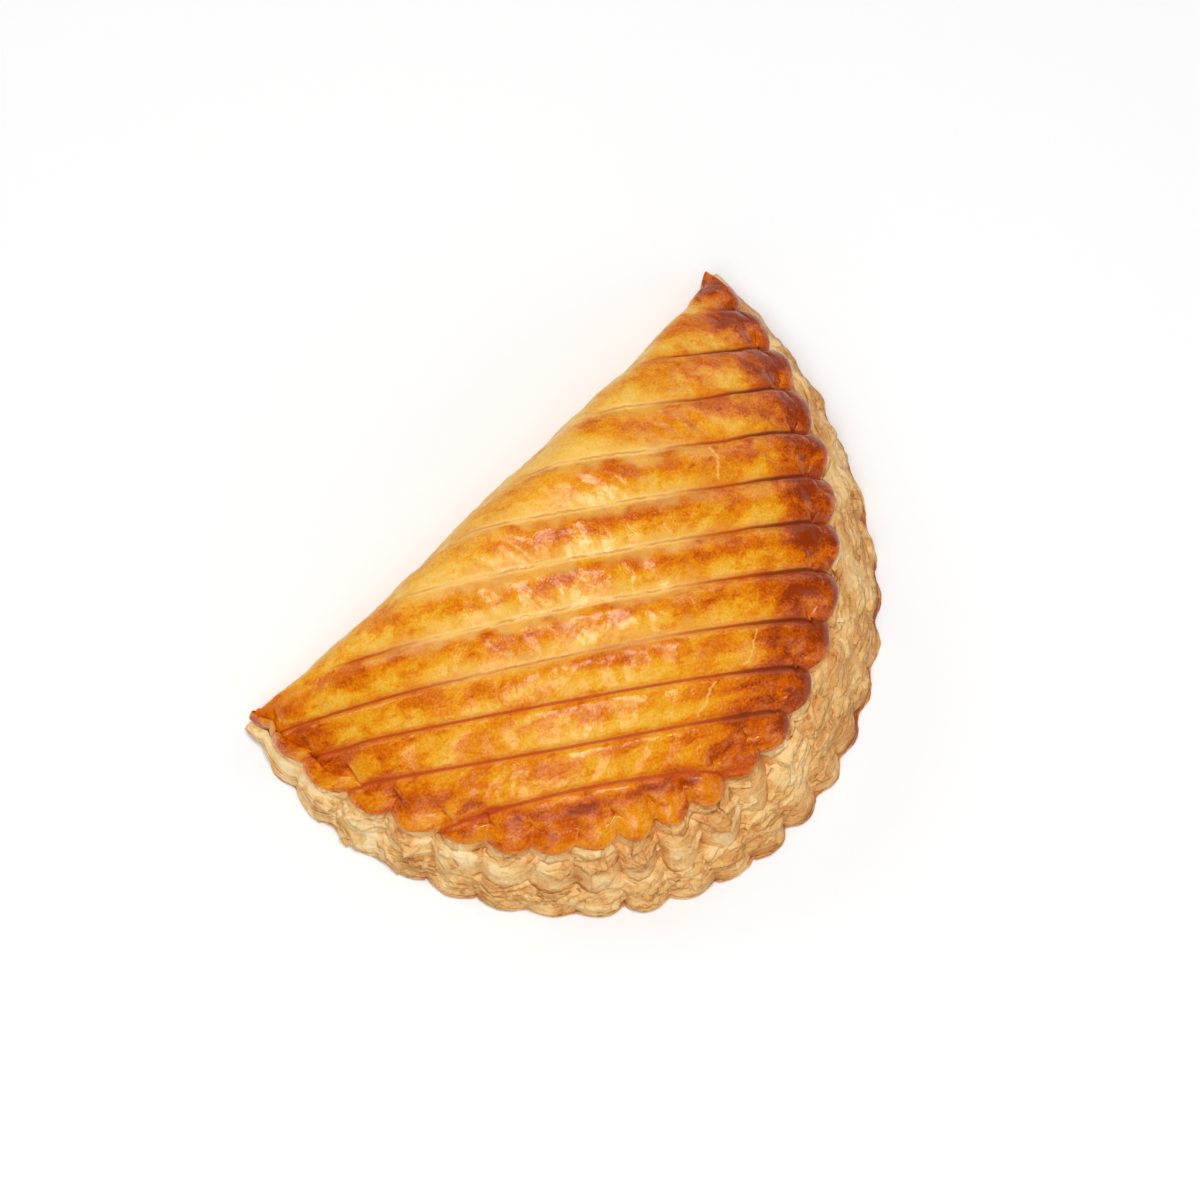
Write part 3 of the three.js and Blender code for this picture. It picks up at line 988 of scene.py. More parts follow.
def tier_leaves(section, number, tier):
    """One tier of petals and the thin plies that show under its edge."""
    wall_rise = section.lip_under - SHEET_THICKNESS
    scale = wall_rise / (LIP_HEIGHT - LIP_THICKNESS - SHEET_THICKNESS)
    to_right = smooth_step(section.lobe, *RIGHT_SIDE)
    edge_back, edge_up, reach, rise = [lerp(*pair, to_right) for pair in zip(tier.front, tier.right)]
    pale = LEFT_PALENESS * (1.0 - smooth_step(section.lobe, *LEFT_SIDE))
    lobe = section.lip_lobe if tier.lip_lobes else section.lobe
    root = LEAF_FOOT + wall_rise * (edge_up + rise)
    leaves = []
    for ply in range(tier.plies):
        seed = FIRST_LEAF_SEED + TIER_SEEDS * number + ply
        height = LEAF_FOOT + wall_rise * edge_up
        if tier.lip_lobes:
            notch = leaf_notch(section, seed)
            line = stacked(section.lobe, seed, WANDER_LINE)
            wander = PETAL_WANDER * unevenness(line, WANDER_CELL, seed + WANDER_SHIFT)
            height = height + scale * (wander - PETAL_DROOP * crown_at(lobe) - PLY_GAP * ply)
            toast = STRINGY_TOAST * band(section.lobe, STRINGY_LOBES) - pale + PLY_TOAST * ply
            step = PLY_STEP
            tuck = section.tuck
        else:
            notch = skirt_notch(section, seed)
            height = height - RIM_PLY_GAP * ply
            toast = -pale
            step = RIM_PLY_STEP
            tuck = section.sheet_tuck
        height = np.maximum(height, LEAF_FOOT - RIM_PLY_GAP * min(ply, 1))
        first = ply == 0
        leaves.append(SimpleNamespace(
            notch=notch,
            root_scallop=1.0 if tier.lip_lobes else lerp(*SKIRT_ROOT_SCALLOP, to_right),
            scallop_fade=lerp(*SCALLOP_FADE, to_right),
            # painted shade in the creases between the lobes
            crease_shade=lerp(*LEAF_CREASE_SHADE, to_right) * (1.0 - crown_at(lobe)) ** 2,
            out=scale * step * ply - section.flare * edge_back - tuck,
            height=height,
            reach=section.flare * reach if first else PLY_REACH * scale,
            rise=root - height if first else PLY_RISE * scale,
            bulge=tier.bulge,
            steps=tier.steps if first else PLY_STEPS,
            thickness=(PETAL_THICKNESS if first else PLY_THICKNESS) * scale,
            toast=tier.toast + toast,
            flaky=lerp(*tier.flaky, to_right),
            # painted shade for the plies, darker where the ply above overhangs them
            shade=0.0 if first else PLY_PAINTED_SHADE,
            first=first,
            lowest=not tier.lip_lobes,
        ))
    return leaves


def leaf_tube(section, number, leaf):
    """One leaf with its torn relief, and the values for its finish."""
    hidden = np.zeros(UNDER_STEPS)
    turned = np.ones(len(LEAF_EDGE_TURN))
    to_edge = np.concatenate((np.linspace(0.0, 1.0, leaf.steps), turned, hidden))[:, None]
    face = np.concatenate((np.ones(leaf.steps), 0.0 * turned, hidden))[:, None]
    outline = leaf_rows(section, leaf)
    normal = outward_normals(outline)
    away = stacked(section.rim.out_x, section.rim.out_y, 0.0)
    side = np.sign(np.sum(normal[leaf.steps - 1] * away, axis=-1))
    swell = LEAF_BUMP * unevenness(outline, BUMP_CELL, number * BUMP_SHIFT)
    layers = LEAF_LAYER * (torn_layers(outline, LAYER_CELL, number * LAYER_SHIFT) - 0.5)
    relief = (swell + layers * leaf.flaky) * face * section.fullness
    grid = outline + normal * side[:, None] * relief[..., None]
    grid[..., 2] = np.maximum(grid[..., 2], LEAF_FLOOR)
    # painted shade: each ply is darkened where it lies under the edge of the ply above
    toast = leaf.toast + leaf.shade * (1.0 - smooth_step(to_edge, *PLY_PAINTED_SHADE_END))
    # painted shade darkens the creases between the lobes
    toast = toast + leaf.crease_shade * section.fullness * lerp(CREASE_SHADE_ROOT, 1.0, to_edge)
    if leaf.lowest:
        grid[..., 1] -= section.sheet_turn
        singed = smooth_step(unevenness(outline, *SINGE_PATCHES), *SINGE_ONSET)
        singed = RIM_SINGE * band(section.lobe, SINGED_LOBES) * singed
        toast = toast + singed * to_edge ** SINGE_SHARPNESS
    values = {
        "toast": toast,
        "flaky": np.broadcast_to(leaf.flaky, grid.shape[:2]),
        "edge": np.broadcast_to(to_edge, grid.shape[:2]) * (SKIRT_EDGE if leaf.lowest else 1.0),
    }
    return grid, values


def side_leaves(material):
    """Makes the leaves, and gives the faces of the first leaf of each tier for flakes to lie on."""
    section = section_at(np.linspace(0.0, 1.0, LEAF_COLUMNS))
    leaves = []
    for number, tier in enumerate(TIERS):
        leaves.extend(tier_leaves(section, number, tier))
    tubes = [leaf_tube(section, number, leaf) for number, leaf in enumerate(leaves)]
    piece = add_tubes("side_leaves", tubes, material)
    return [grid[:leaf.steps] for leaf, (grid, values) in zip(leaves, tubes) if leaf.first]


def unit(vector):
    return vector / np.linalg.norm(vector)


def flake_grid(face, rng):
    """One thin shard of pastry lying on the face of a leaf, its lower edge lifted a little."""
    width = rng.uniform(*FLAKE_WIDTHS) / 2.0
    length = rng.uniform(*FLAKE_LENGTHS) / 2.0
    turn = rng.uniform(-FLAKE_TURN, FLAKE_TURN)
    lift = rng.uniform(*FLAKE_LIFTS)
    row = int(lerp(1, len(face) - 2, rng.uniform(*FLAKE_SHARES)))
    column = int(LEAF_COLUMNS * rng.uniform(*FLAKE_PLACES))
    along = unit(face[row, column + FLAKE_FOOTING] - face[row, column - FLAKE_FOOTING])
    down = unit(face[row + 1, column] - face[row - 1, column])
    normal = unit(np.cross(down, along))
    centre = face[row, column] + normal * FLAKE_PROUD
    sides = np.linspace(-1.0, 1.0, FLAKE_COLUMNS)
    torn = np.interp(sides, np.linspace(-1.0, 1.0, FLAKE_LOBES), rng.uniform(*FLAKE_RAGGED, FLAKE_LOBES))
    torn = torn * rng.uniform(*FLAKE_FRAYED, FLAKE_COLUMNS)
    rows = []
    loop = np.concatenate((np.linspace(-1.0, 1.0, FLAKE_STEPS), np.linspace(1.0, -1.0, FLAKE_STEPS)))
    layers = np.concatenate((np.ones(FLAKE_STEPS), np.zeros(FLAKE_STEPS)))
    for place, upper in zip(loop, layers):
        across = width * sides
        fall = length * place * (torn if place > 0.0 else 1.0)
        spun_across = across * math.cos(turn) - fall * math.sin(turn)
        spun_fall = across * math.sin(turn) + fall * math.cos(turn)
        height = lerp(-FLAKE_SINK, lift, (place + 1.0) / 2.0) - FLAKE_CURL * sides ** FLAKE_SQUARENESS
        height = height + FLAKE_THICKNESS * (upper - 0.5)
        flat = centre + np.outer(spun_across, along) + np.outer(spun_fall, down)
        rows.append(flat + np.outer(height, normal))
    return np.array(rows), np.clip(loop, 0.0, 1.0)


def loose_flakes(material, faces):
    """Makes the flakes that lie on the faces of the leaves."""
    rng = np.random.default_rng(FLAKE_SEED)
    tubes = []
    for number in range(FLAKES):
        grid, to_edge = flake_grid(faces[FLAKE_TIERS[number % len(FLAKE_TIERS)]], rng)
        grid[..., 2] = np.maximum(grid[..., 2], LEAF_FLOOR)
        toast = rng.uniform(*FLAKE_TOASTS)
        edge = to_edge[:, None] * rng.uniform(*FLAKE_EDGES)
        values = {
            "toast": np.full(grid.shape[:2], toast),
            "edge": np.broadcast_to(edge, grid.shape[:2]),
            "flaky": np.full(grid.shape[:2], FLAKE_FLAKY),
        }
        tubes.append((grid, values))
    piece = add_tubes("loose_flakes", tubes, material)
    return piece


# Finishes

class Bench:
    """Short calls for making and joining the nodes of one tree."""

    def __init__(self, tree):
        self.tree = tree

    def node(self, kind, **settings):
        made = self.tree.nodes.new(kind)
        for label, value in settings.items():
            setattr(made, label, value)
        return made

    def feed(self, socket, value):
        if isinstance(value, bpy.types.NodeSocket):
            self.tree.links.new(value, socket)
        else:
            socket.default_value = value

    def fill(self, made, values):
        for label, value in values.items():
            self.feed(made.inputs[label], value)

    def value(self, label):
        return self.node("ShaderNodeAttribute", attribute_name=label).outputs["Fac"]

    def math(self, operation, first, second=0.0, clamp=False):
        made = self.node("ShaderNodeMath", operation=operation, use_clamp=clamp)
        self.fill(made, {0: first, 1: second})
        return made.outputs[0]

    def plus(self, first, second, clamp=False):
        return self.math("ADD", first, second, clamp)

    def minus(self, first, second):
        return self.math("SUBTRACT", first, second)

    def rest(self, share):
        return self.minus(1.0, share)

    def times(self, first, *others):
        product = first
        for other in others:
            product = self.math("MULTIPLY", product, other)
        return product

    def summed(self, start, *weighted):
        """The start plus each value times its weight."""
        total = start
        for value, weight in weighted:
            total = self.plus(total, self.times(value, weight))
        return total

    def ease(self, value, low, high, start=0.0, end=1.0):
        """Smooth change from start to end while value goes from low to high."""
        made = self.node("ShaderNodeMapRange", interpolation_type="SMOOTHSTEP")
        self.fill(made, {"Value": value, "From Min": low, "From Max": high, "To Min": start, "To Max": end})
        return made.outputs["Result"]

    def between(self, share, start, end):
        """Smooth change from start to end while a share goes from 0 to 1."""
        return self.ease(share, 0.0, 1.0, start, end)

    def noise(self, place, scale, detail=2.0, roughness=0.5, distortion=0.0):
        made = self.node("ShaderNodeTexNoise")
        self.fill(made, {"Vector": place, "Scale": scale, "Detail": detail})
        self.fill(made, {"Roughness": roughness, "Distortion": distortion})
        return made.outputs["Fac"]

    def sway(self, place, *pattern):
        """Noise that goes to both sides of zero."""
        return self.minus(self.noise(place, *pattern), 0.5)

    def blend(self, amount, first, second):
        made = self.node("ShaderNodeMix", data_type="RGBA")
        self.fill(made, {0: amount, 6: first, 7: second})
        return made.outputs[2]

    def tint(self, colour, tone, *amounts):
        """The colour with a tone laid over it, as strongly as the product of the amounts."""
        return self.blend(self.times(*amounts), colour, tone)

    def ramp(self, value, stops):
        made = self.node("ShaderNodeValToRGB")
        elements = made.color_ramp.elements
        while len(elements) < len(stops):
            elements.new(0.5)
        for element, (place, colour) in zip(elements, stops):
            element.position = place
            element.color = colour
        self.feed(made.inputs["Fac"], value)
        return made.outputs["Color"]

    def millimetres(self):
        """Place on the piece in millimetres."""
        place = self.node("ShaderNodeTexCoord").outputs["Object"]
        scaled = self.node("ShaderNodeVectorMath", operation="SCALE")
        self.fill(scaled, {0: place, "Scale": 1000.0})
        return scaled.outputs[0]

    def part(self, vector, axis):
        made = self.node("ShaderNodeSeparateXYZ")
        self.feed(made.inputs["Vector"], vector)
        return made.outputs[axis]

    def group(self, tree, **inputs):
        made = self.node("ShaderNodeGroup", node_tree=tree)
        self.fill(made, {label.replace("_", " "): value for label, value in inputs.items()})
        return made.outputs


def srgb(red, green, blue):
    """A colour as seen on a screen, 0 to 255, as the linear colour that shaders use."""
    linear = []
    for level in (red, green, blue):
        share = level / 255.0
        linear.append(share / 12.92 if share <= 0.04045 else ((share + 0.055) / 1.055) ** 2.4)
    return (*linear, 1.0)


# Effects placed in the finishes

# Marks of the oven: how much finer than the patches they are, their noise, and where they start and fill
OVEN_MARKS = (
    ("Patches", 1.0, (3.0, 0.55, 0.4), (0.38, 0.62)),
    ("Spots", 2.7, (2.0, 0.5, 0.6), (0.56, 0.72)),
    ("Flecks", 19.0, (1.0, 0.5, 0.0), (0.72, 0.8)),
)
FINE_GRAIN = (2.0, 0.5)
BROAD_GRAIN = (3.0, 0.6, 0.5)
BROAD_GRAIN_SCALE = 0.3
BROAD_GRAIN_HEIGHT = 2.0
GRAIN_SHADE = (0.3, 0.7)
GRAIN_RISE = 0.0002
LAYER_RAGGED = (0.2, 3.0, 0.55, 0.3)
LAYER_SLOPE = 5.0
LAYER_STEP = 0.25
LAYER_EDGE = 0.18
LAYER_TONE = 0.618


def new_group(name, scale_label, results):
    """An empty node group: a place and a scale go into it, and the named results come out."""
    tree = bpy.data.node_groups.new(name, "ShaderNodeTree")
    tree.interface.new_socket("Place", in_out="INPUT", socket_type="NodeSocketVector")
    tree.interface.new_socket(scale_label, in_out="INPUT", socket_type="NodeSocketFloat")
    for label in results:
        tree.interface.new_socket(label, in_out="OUTPUT", socket_type="NodeSocketFloat")
    bench = Bench(tree)
    given = bench.node("NodeGroupInput").outputs
    result = bench.node("NodeGroupOutput")
    return tree, bench, given["Place"], given[scale_label], result


def oven_patches_group():
    """Uneven browning from the oven: broad patches, small spots and fine dark flecks, each 0 to 1."""
    labels = [mark[0] for mark in OVEN_MARKS]
    tree, bench, place, patch_scale, result = new_group("oven patches", "Patch Scale", labels)
    for label, finer, pattern, span in OVEN_MARKS:
        mark = bench.noise(place, bench.times(patch_scale, finer), *pattern)
        bench.feed(result.inputs[label], bench.ease(mark, *span))
    return tree


def pastry_grain_group():
    """Fine crackled grain of baked dough: a height for bumps and a light and dark shade."""
    tree, bench, place, grain_scale, result = new_group("pastry grain", "Grain Scale", ("Height", "Shade"))
    fine = bench.noise(place, grain_scale, *FINE_GRAIN)
    broad = bench.noise(place, bench.times(grain_scale, BROAD_GRAIN_SCALE), *BROAD_GRAIN)
    bench.fill(result, {
        "Height": bench.summed(fine, (broad, BROAD_GRAIN_HEIGHT)),
        "Shade": bench.ease(fine, *GRAIN_SHADE),
    })
    return tree


def torn_layers_group():
    """Layers of puff pastry torn away one over another: a height, a tone for each layer and its edges."""
    labels = ("Height", "Tone", "Edge")
    tree, bench, place, layer_scale, result = new_group("torn layers", "Layers per Millimetre", labels)
    ragged = bench.noise(place, *LAYER_RAGGED)
    layer = bench.summed(bench.times(bench.part(place, "Z"), layer_scale), (ragged, LAYER_SLOPE))
    level = bench.math("FLOOR", layer)
    within = bench.math("FRACT", layer)
    bench.fill(result, {
        "Height": bench.plus(level, bench.ease(within, 0.0, LAYER_STEP)),
        "Tone": bench.math("FRACT", bench.times(level, LAYER_TONE)),
        # a dark band on each step: toasted torn edge and painted shade on the step
        "Edge": bench.ease(within, LAYER_EDGE, 0.0),
    })
    return tree


def new_finish(name):
    """An empty material with its shader, and the bench to work on it."""
    material = bpy.data.materials.new(name)
    material.use_nodes = True
    bench = Bench(material.node_tree)
    shader = material.node_tree.nodes["Principled BSDF"]
    return material, bench, shader


def add_bump(bench, shader, height, strength):
    bump = bench.node("ShaderNodeBump")
    bench.fill(bump, {"Strength": strength, "Distance": GRAIN_RISE, "Height": height})
    bench.feed(shader.inputs["Normal"], bump.outputs["Normal"])


# Egg-glazed crust: tones from pale to dark, and those of the cuts, flecks and cracks
CRUST_TONES = (
    (0.0, srgb(242, 194, 92)),
    (0.26, srgb(238, 169, 38)),
    (0.5, srgb(227, 133, 8)),
    (0.75, srgb(203, 90, 2)),
    (1.0, srgb(146, 50, 4)),
)
OPENED_TONE = srgb(243, 195, 100)
SEAM_TONE = srgb(252, 212, 132)
TORN_TONE = srgb(204, 118, 30)
REDDENED_TONE = srgb(206, 84, 8)
CUT_TONE = srgb(184, 66, 8)
DARK_CUT_TONE = srgb(104, 32, 4)
# Band below the cuts at their right-hand ends: partly singed crust, partly painted shadow of the cut.
SINGED_AND_SHADOW_TONE = srgb(136, 48, 6)
FLECK_TONE = srgb(140, 62, 12)
CRACK_TONE = srgb(252, 202, 112)

# Patterns that make the marks of the crust uneven: scale and detail of the noise, and how far it moves them
CRUST_GRAIN_SCALE = 1.9
CRUST_PATCH_SCALE = 0.17
PATCH_STRETCH = 0.62
CROWN_WANDER = (0.32, 3.0, 0.6)
CUT_WOBBLE = (0.45, 2.0)
OPENED_DRIFT = (0.18, 1.0)
CROWN_SWAY = 0.7
OPENED_SWAY = 9.0
CRACK_SWAY = 4.0

# Browning of the crust: where each kind starts and fills, and how brown it makes the crust
RIM_SPAN = (17.0, 3.0)
CROWN_RISE = (-0.05, 0.12)
CROWN_FALL = (0.72, 0.4)
CROWN_BACK = (-9.0, -1.0)
CROWN_BROWN = (0.26, 0.12)
PATCH_SPAN = (0.0, 5.0)
PATCH_BROWN = (0.26, 0.3)
FOLD_SPAN = (8.0, 0.0)
# Painted light: the back of the fold is made paler near its edge, where light wraps round it.
FOLD_EDGE_RISE = (-2.0, -8.0)
FOLD_EDGE_FALL = (-15.0, -9.0)
BASE_BROWN = 0.07
SPOT_BROWN = 0.16
RIM_BROWN = 0.46
END_BROWN = 0.04
TROUGH_BROWN = 0.22
FOLD_BROWN = -0.07
FOLD_EDGE_PAINTED_LIGHT = -0.14
GRAIN_BROWN = 0.2

# Cuts of the crust: the ways from the line where each tone starts and fills, and its strength
OPENED_ABOVE = (4.0, 0.8)
OPENED_BELOW = (4.2, 0.2)
OPENED_STRENGTH = 0.56
SEAM_SPAN = (1.0, 0.4)
SEAM_STRENGTH = 0.45
TORN_SPAN = (0.42, 0.1)
TORN_PATTERN = (0.14, 2.0)
TORN_STRENGTH = (0.4, 0.58, 0.12, 0.62)
REDDENED_SPAN = (1.6, 0.3)
REDDENED_STRENGTH = 0.34
CUT_HALF_WIDTHS = (0.55, 0.72)
CUT_FILL = (0.0, 0.7)
CUT_STRENGTH = 0.88
SINGED_AND_SHADOW_SPAN = (2.6, 0.2)
SINGED_AND_SHADOW_STRENGTH = 0.45
FLECK_STRENGTH = 0.5
CRACK_SPAN = (0.5, 0.1)
CRACK_STRENGTH = 0.55

# Shine of the glaze
GLAZE_ROUGHNESS = (0.08, 0.18)
GRAIN_DULLNESS = 0.1
FOLD_DULL_SPAN = (5.0, 0.0)
FOLD_DULLNESS = 0.25
TROUGH_DULLNESS = 0.3
CUT_DULL_SPAN = (1.3, 0.2)
CUT_DULLNESS = 0.35
OPENED_DULLNESS = 0.06
GLAZE_SPECULAR = 0.3
GLAZE_SPECULAR_TINT = srgb(255, 240, 222)
GLAZE_COAT = (0.24, 0.05)
DARK_END_COAT = (1.0, 0.4)
OPENED_COAT = (1.0, 0.6)
GLAZE_COAT_ROUGHNESS = 0.16
GLAZE_COAT_TINT = srgb(255, 250, 244)
CRUST_BUMP_STRENGTH = 0.36


def crust_marks(bench, place):
    """Where a point of the crust lies among the strips and cuts, and on the way from the lip to the fold."""
    strip = bench.value("strip")
    opened = bench.value("opened")
    share = bench.math("FRACT", strip)
    above_line = bench.times(bench.rest(share), STRIP_WIDTH)
    below_line = bench.times(share, STRIP_WIDTH)
    nearer = bench.minus(share, bench.math("ROUND", share))
    wobble = bench.times(bench.sway(place, *CUT_WOBBLE), opened)
    wander = bench.sway(place, *CROWN_WANDER)
    drift = bench.sway(place, *OPENED_DRIFT)
    return SimpleNamespace(
        strip=strip,
        opened=opened,
        along=bench.value("along"),
        dark_end=bench.value("dark_end"),
        trough=bench.value("trough"),
        fold_gap=bench.value("fold_gap"),
        at_rim=bench.times(bench.ease(bench.value("lip_gap"), *RIM_SPAN), bench.value("lip_toast")),
        shut=bench.times(bench.value("scored"), bench.rest(opened)),
        wander=wander,
        below_line=below_line,
        near_line=bench.math("ABSOLUTE", bench.plus(bench.times(nearer, STRIP_WIDTH), wobble)),
        wavy_share=bench.summed(share, (wander, CROWN_SWAY)),
        wavy_above=bench.summed(above_line, (wander, OPENED_SWAY)),
        wavy_below=bench.summed(below_line, (drift, OPENED_SWAY)),
    )


def crust_browning(bench, marks, oven, dough):
    """How brown the crust is: on the crowns of the strips, in patches, at the lip and in its trough, with
    painted light making the back of the fold paler near its edge.
    """
    fold_gap = marks.fold_gap
    crown = bench.times(
        bench.ease(marks.wavy_share, *CROWN_RISE),
        bench.ease(marks.wavy_share, *CROWN_FALL),
        bench.ease(marks.strip, *FRONT_LINES, *CROWN_BROWN),
        bench.ease(fold_gap, *CROWN_BACK),
    )
    patchy = bench.times(oven["Patches"], bench.ease(fold_gap, *PATCH_SPAN, *PATCH_BROWN))
    # painted light: paler band on the back of the fold near its edge
    lit_fold_edge = bench.times(bench.ease(fold_gap, *FOLD_EDGE_RISE), bench.ease(fold_gap, *FOLD_EDGE_FALL))
    brown = bench.summed(
        bench.plus(crown, patchy),
        (oven["Spots"], SPOT_BROWN),
        (marks.at_rim, RIM_BROWN),
        (marks.dark_end, END_BROWN),
        (marks.trough, TROUGH_BROWN),
        (bench.ease(fold_gap, *FOLD_SPAN), FOLD_BROWN),
        (lit_fold_edge, FOLD_EDGE_PAINTED_LIGHT),
        (dough["Shade"], GRAIN_BROWN),
    )
    return bench.plus(brown, BASE_BROWN, clamp=True)


def opened_cuts(bench, marks):
    """Where the crust gapes, on both sides of the opened cuts."""
    above = bench.times(bench.ease(marks.wavy_above, *OPENED_ABOVE), marks.opened)
    below = bench.times(bench.ease(marks.wavy_below, *OPENED_BELOW), marks.opened)
    return bench.math("MAXIMUM", above, below)


def add_cuts(bench, place, marks, gaping, colour):
    """Cuts: pale where they opened, with a torn line, and caramel brown towards the right-hand ends, where a
    darker band below each cut is partly singed and partly painted shadow.
    """
    near_line = marks.near_line
    colour = bench.tint(colour, OPENED_TONE, gaping, OPENED_STRENGTH)
    colour = bench.tint(colour, SEAM_TONE, bench.ease(near_line, *SEAM_SPAN), marks.opened, SEAM_STRENGTH)
    torn_here = bench.ease(bench.noise(place, *TORN_PATTERN), *TORN_STRENGTH)
    colour = bench.tint(colour, TORN_TONE, bench.ease(near_line, *TORN_SPAN), marks.opened, torn_here)
    reddened = bench.ease(near_line, *REDDENED_SPAN)
    colour = bench.tint(colour, REDDENED_TONE, reddened, marks.shut, REDDENED_STRENGTH)
    half_width = bench.between(marks.dark_end, *CUT_HALF_WIDTHS)
    cut = bench.ease(bench.rest(bench.math("DIVIDE", near_line, half_width)), *CUT_FILL)
    cut_tone = bench.blend(marks.dark_end, CUT_TONE, DARK_CUT_TONE)
    colour = bench.tint(colour, cut_tone, cut, marks.shut, CUT_STRENGTH)
    # darker band below the cut at its right-hand end: singed crust and painted shadow
    singed = bench.ease(marks.below_line, *SINGED_AND_SHADOW_SPAN)
    return bench.tint(colour, SINGED_AND_SHADOW_TONE, singed, marks.dark_end, SINGED_AND_SHADOW_STRENGTH)


def add_cracks(bench, marks, colour):
    """Short pale cracks across single strips."""
    bend = bench.summed(marks.along, (marks.wander, CRACK_SWAY))
    for mid_strip, crack_along in CRACKS:
        from_crack = bench.math("ABSOLUTE", bench.minus(bend, crack_along))
        crack = bench.ease(from_crack, *CRACK_SPAN, 0.0, CRACK_STRENGTH)
        inside = bench.math("COMPARE", marks.strip, mid_strip)
        bench.feed(inside.node.inputs[2], CRACK_HALF_SPAN)
        colour = bench.tint(colour, CRACK_TONE, crack, inside)
    return colour


def set_glaze(bench, shader, marks, oven, dough, gaping):
    """Shine of the egg glaze: duller at the fold, in the trough and in the cuts."""
    at_fold = bench.ease(marks.fold_gap, *FOLD_DULL_SPAN)
    in_cut = bench.times(bench.ease(marks.near_line, *CUT_DULL_SPAN), marks.shut)
    rough = bench.summed(
        bench.between(oven["Patches"], *GLAZE_ROUGHNESS),
        (dough["Shade"], GRAIN_DULLNESS),
        (at_fold, FOLD_DULLNESS),
        (marks.trough, TROUGH_DULLNESS),
        (in_cut, CUT_DULLNESS),
        (gaping, OPENED_DULLNESS),
    )
    wet = bench.times(
        bench.between(oven["Patches"], *GLAZE_COAT),
        bench.between(marks.dark_end, *DARK_END_COAT),
        bench.rest(at_fold),
        bench.rest(marks.trough),
        bench.rest(in_cut),
        bench.between(gaping, *OPENED_COAT),
    )
    bench.fill(shader, {
        "Roughness": rough,
        "Specular IOR Level": GLAZE_SPECULAR,
        "Specular Tint": GLAZE_SPECULAR_TINT,
        "Coat Weight": wet,
        "Coat Roughness": GLAZE_COAT_ROUGHNESS,
        "Coat Tint": GLAZE_COAT_TINT,
    })


def glazed_crust_finish(patches, grain):
    """Egg-glazed crust: golden, browner on the crowns of the strips and at the lip, pale where it opened."""
    material, bench, shader = new_finish("egg glazed crust")
    place = bench.millimetres()
    marks = crust_marks(bench, place)
    dough = bench.group(grain, Place=place, Grain_Scale=CRUST_GRAIN_SCALE)
    on_strip = bench.node("ShaderNodeCombineXYZ")
    bench.fill(on_strip, {
        "X": bench.times(marks.along, PATCH_STRETCH),
        "Y": bench.times(marks.strip, STRIP_WIDTH),
        "Z": bench.part(place, "Z"),
    })
    oven = bench.group(patches, Place=on_strip.outputs["Vector"], Patch_Scale=CRUST_PATCH_SCALE)
    gaping = opened_cuts(bench, marks)
    colour = bench.ramp(crust_browning(bench, marks, oven, dough), CRUST_TONES)
    colour = add_cuts(bench, place, marks, gaping, colour)
    colour = bench.tint(colour, FLECK_TONE, oven["Flecks"], FLECK_STRENGTH)
    colour = add_cracks(bench, marks, colour)
    bench.feed(shader.inputs["Base Color"], colour)
    set_glaze(bench, shader, marks, oven, dough, gaping)
    add_bump(bench, shader, dough["Height"], CRUST_BUMP_STRENGTH)
    return material


# Pale pastry leaves
LEAF_TONES = (
    (0.0, srgb(254, 226, 170)),
    (0.3, srgb(240, 189, 115)),
    (0.6, srgb(212, 142, 63)),
    (1.0, srgb(160, 78, 20)),
)
LEAF_PATCH_SCALE = 0.13
LEAF_GRAIN_SCALE = 2.2
LEAF_LAYER_SCALE = 0.9
LEAF_RAGGED = (0.13, 2.0)
LEAF_RAGGED_SPAN = (0.46, 0.62)
RAGGED_FLAKY = 0.4
LEAF_TAN = 0.08
LEAF_PATCH_TAN = 0.28
LEAF_SPOT_TAN = 0.2
LAYER_TAN = 0.22
# Dark band on each torn layer step: toasted edge and painted shade on the step.
LAYER_EDGE_TAN_AND_SHADE = (0.12, 0.55)
LEAF_GRAIN_TAN = 0.08
LEAF_EDGE_SPAN = (0.9, 1.0)
LEAF_EDGE_TAN = 0.36
LEAF_ROUGHNESS = (0.45, 0.65)
LAYER_RISE = 0.9
LEAF_BUMP_STRENGTH = 0.8


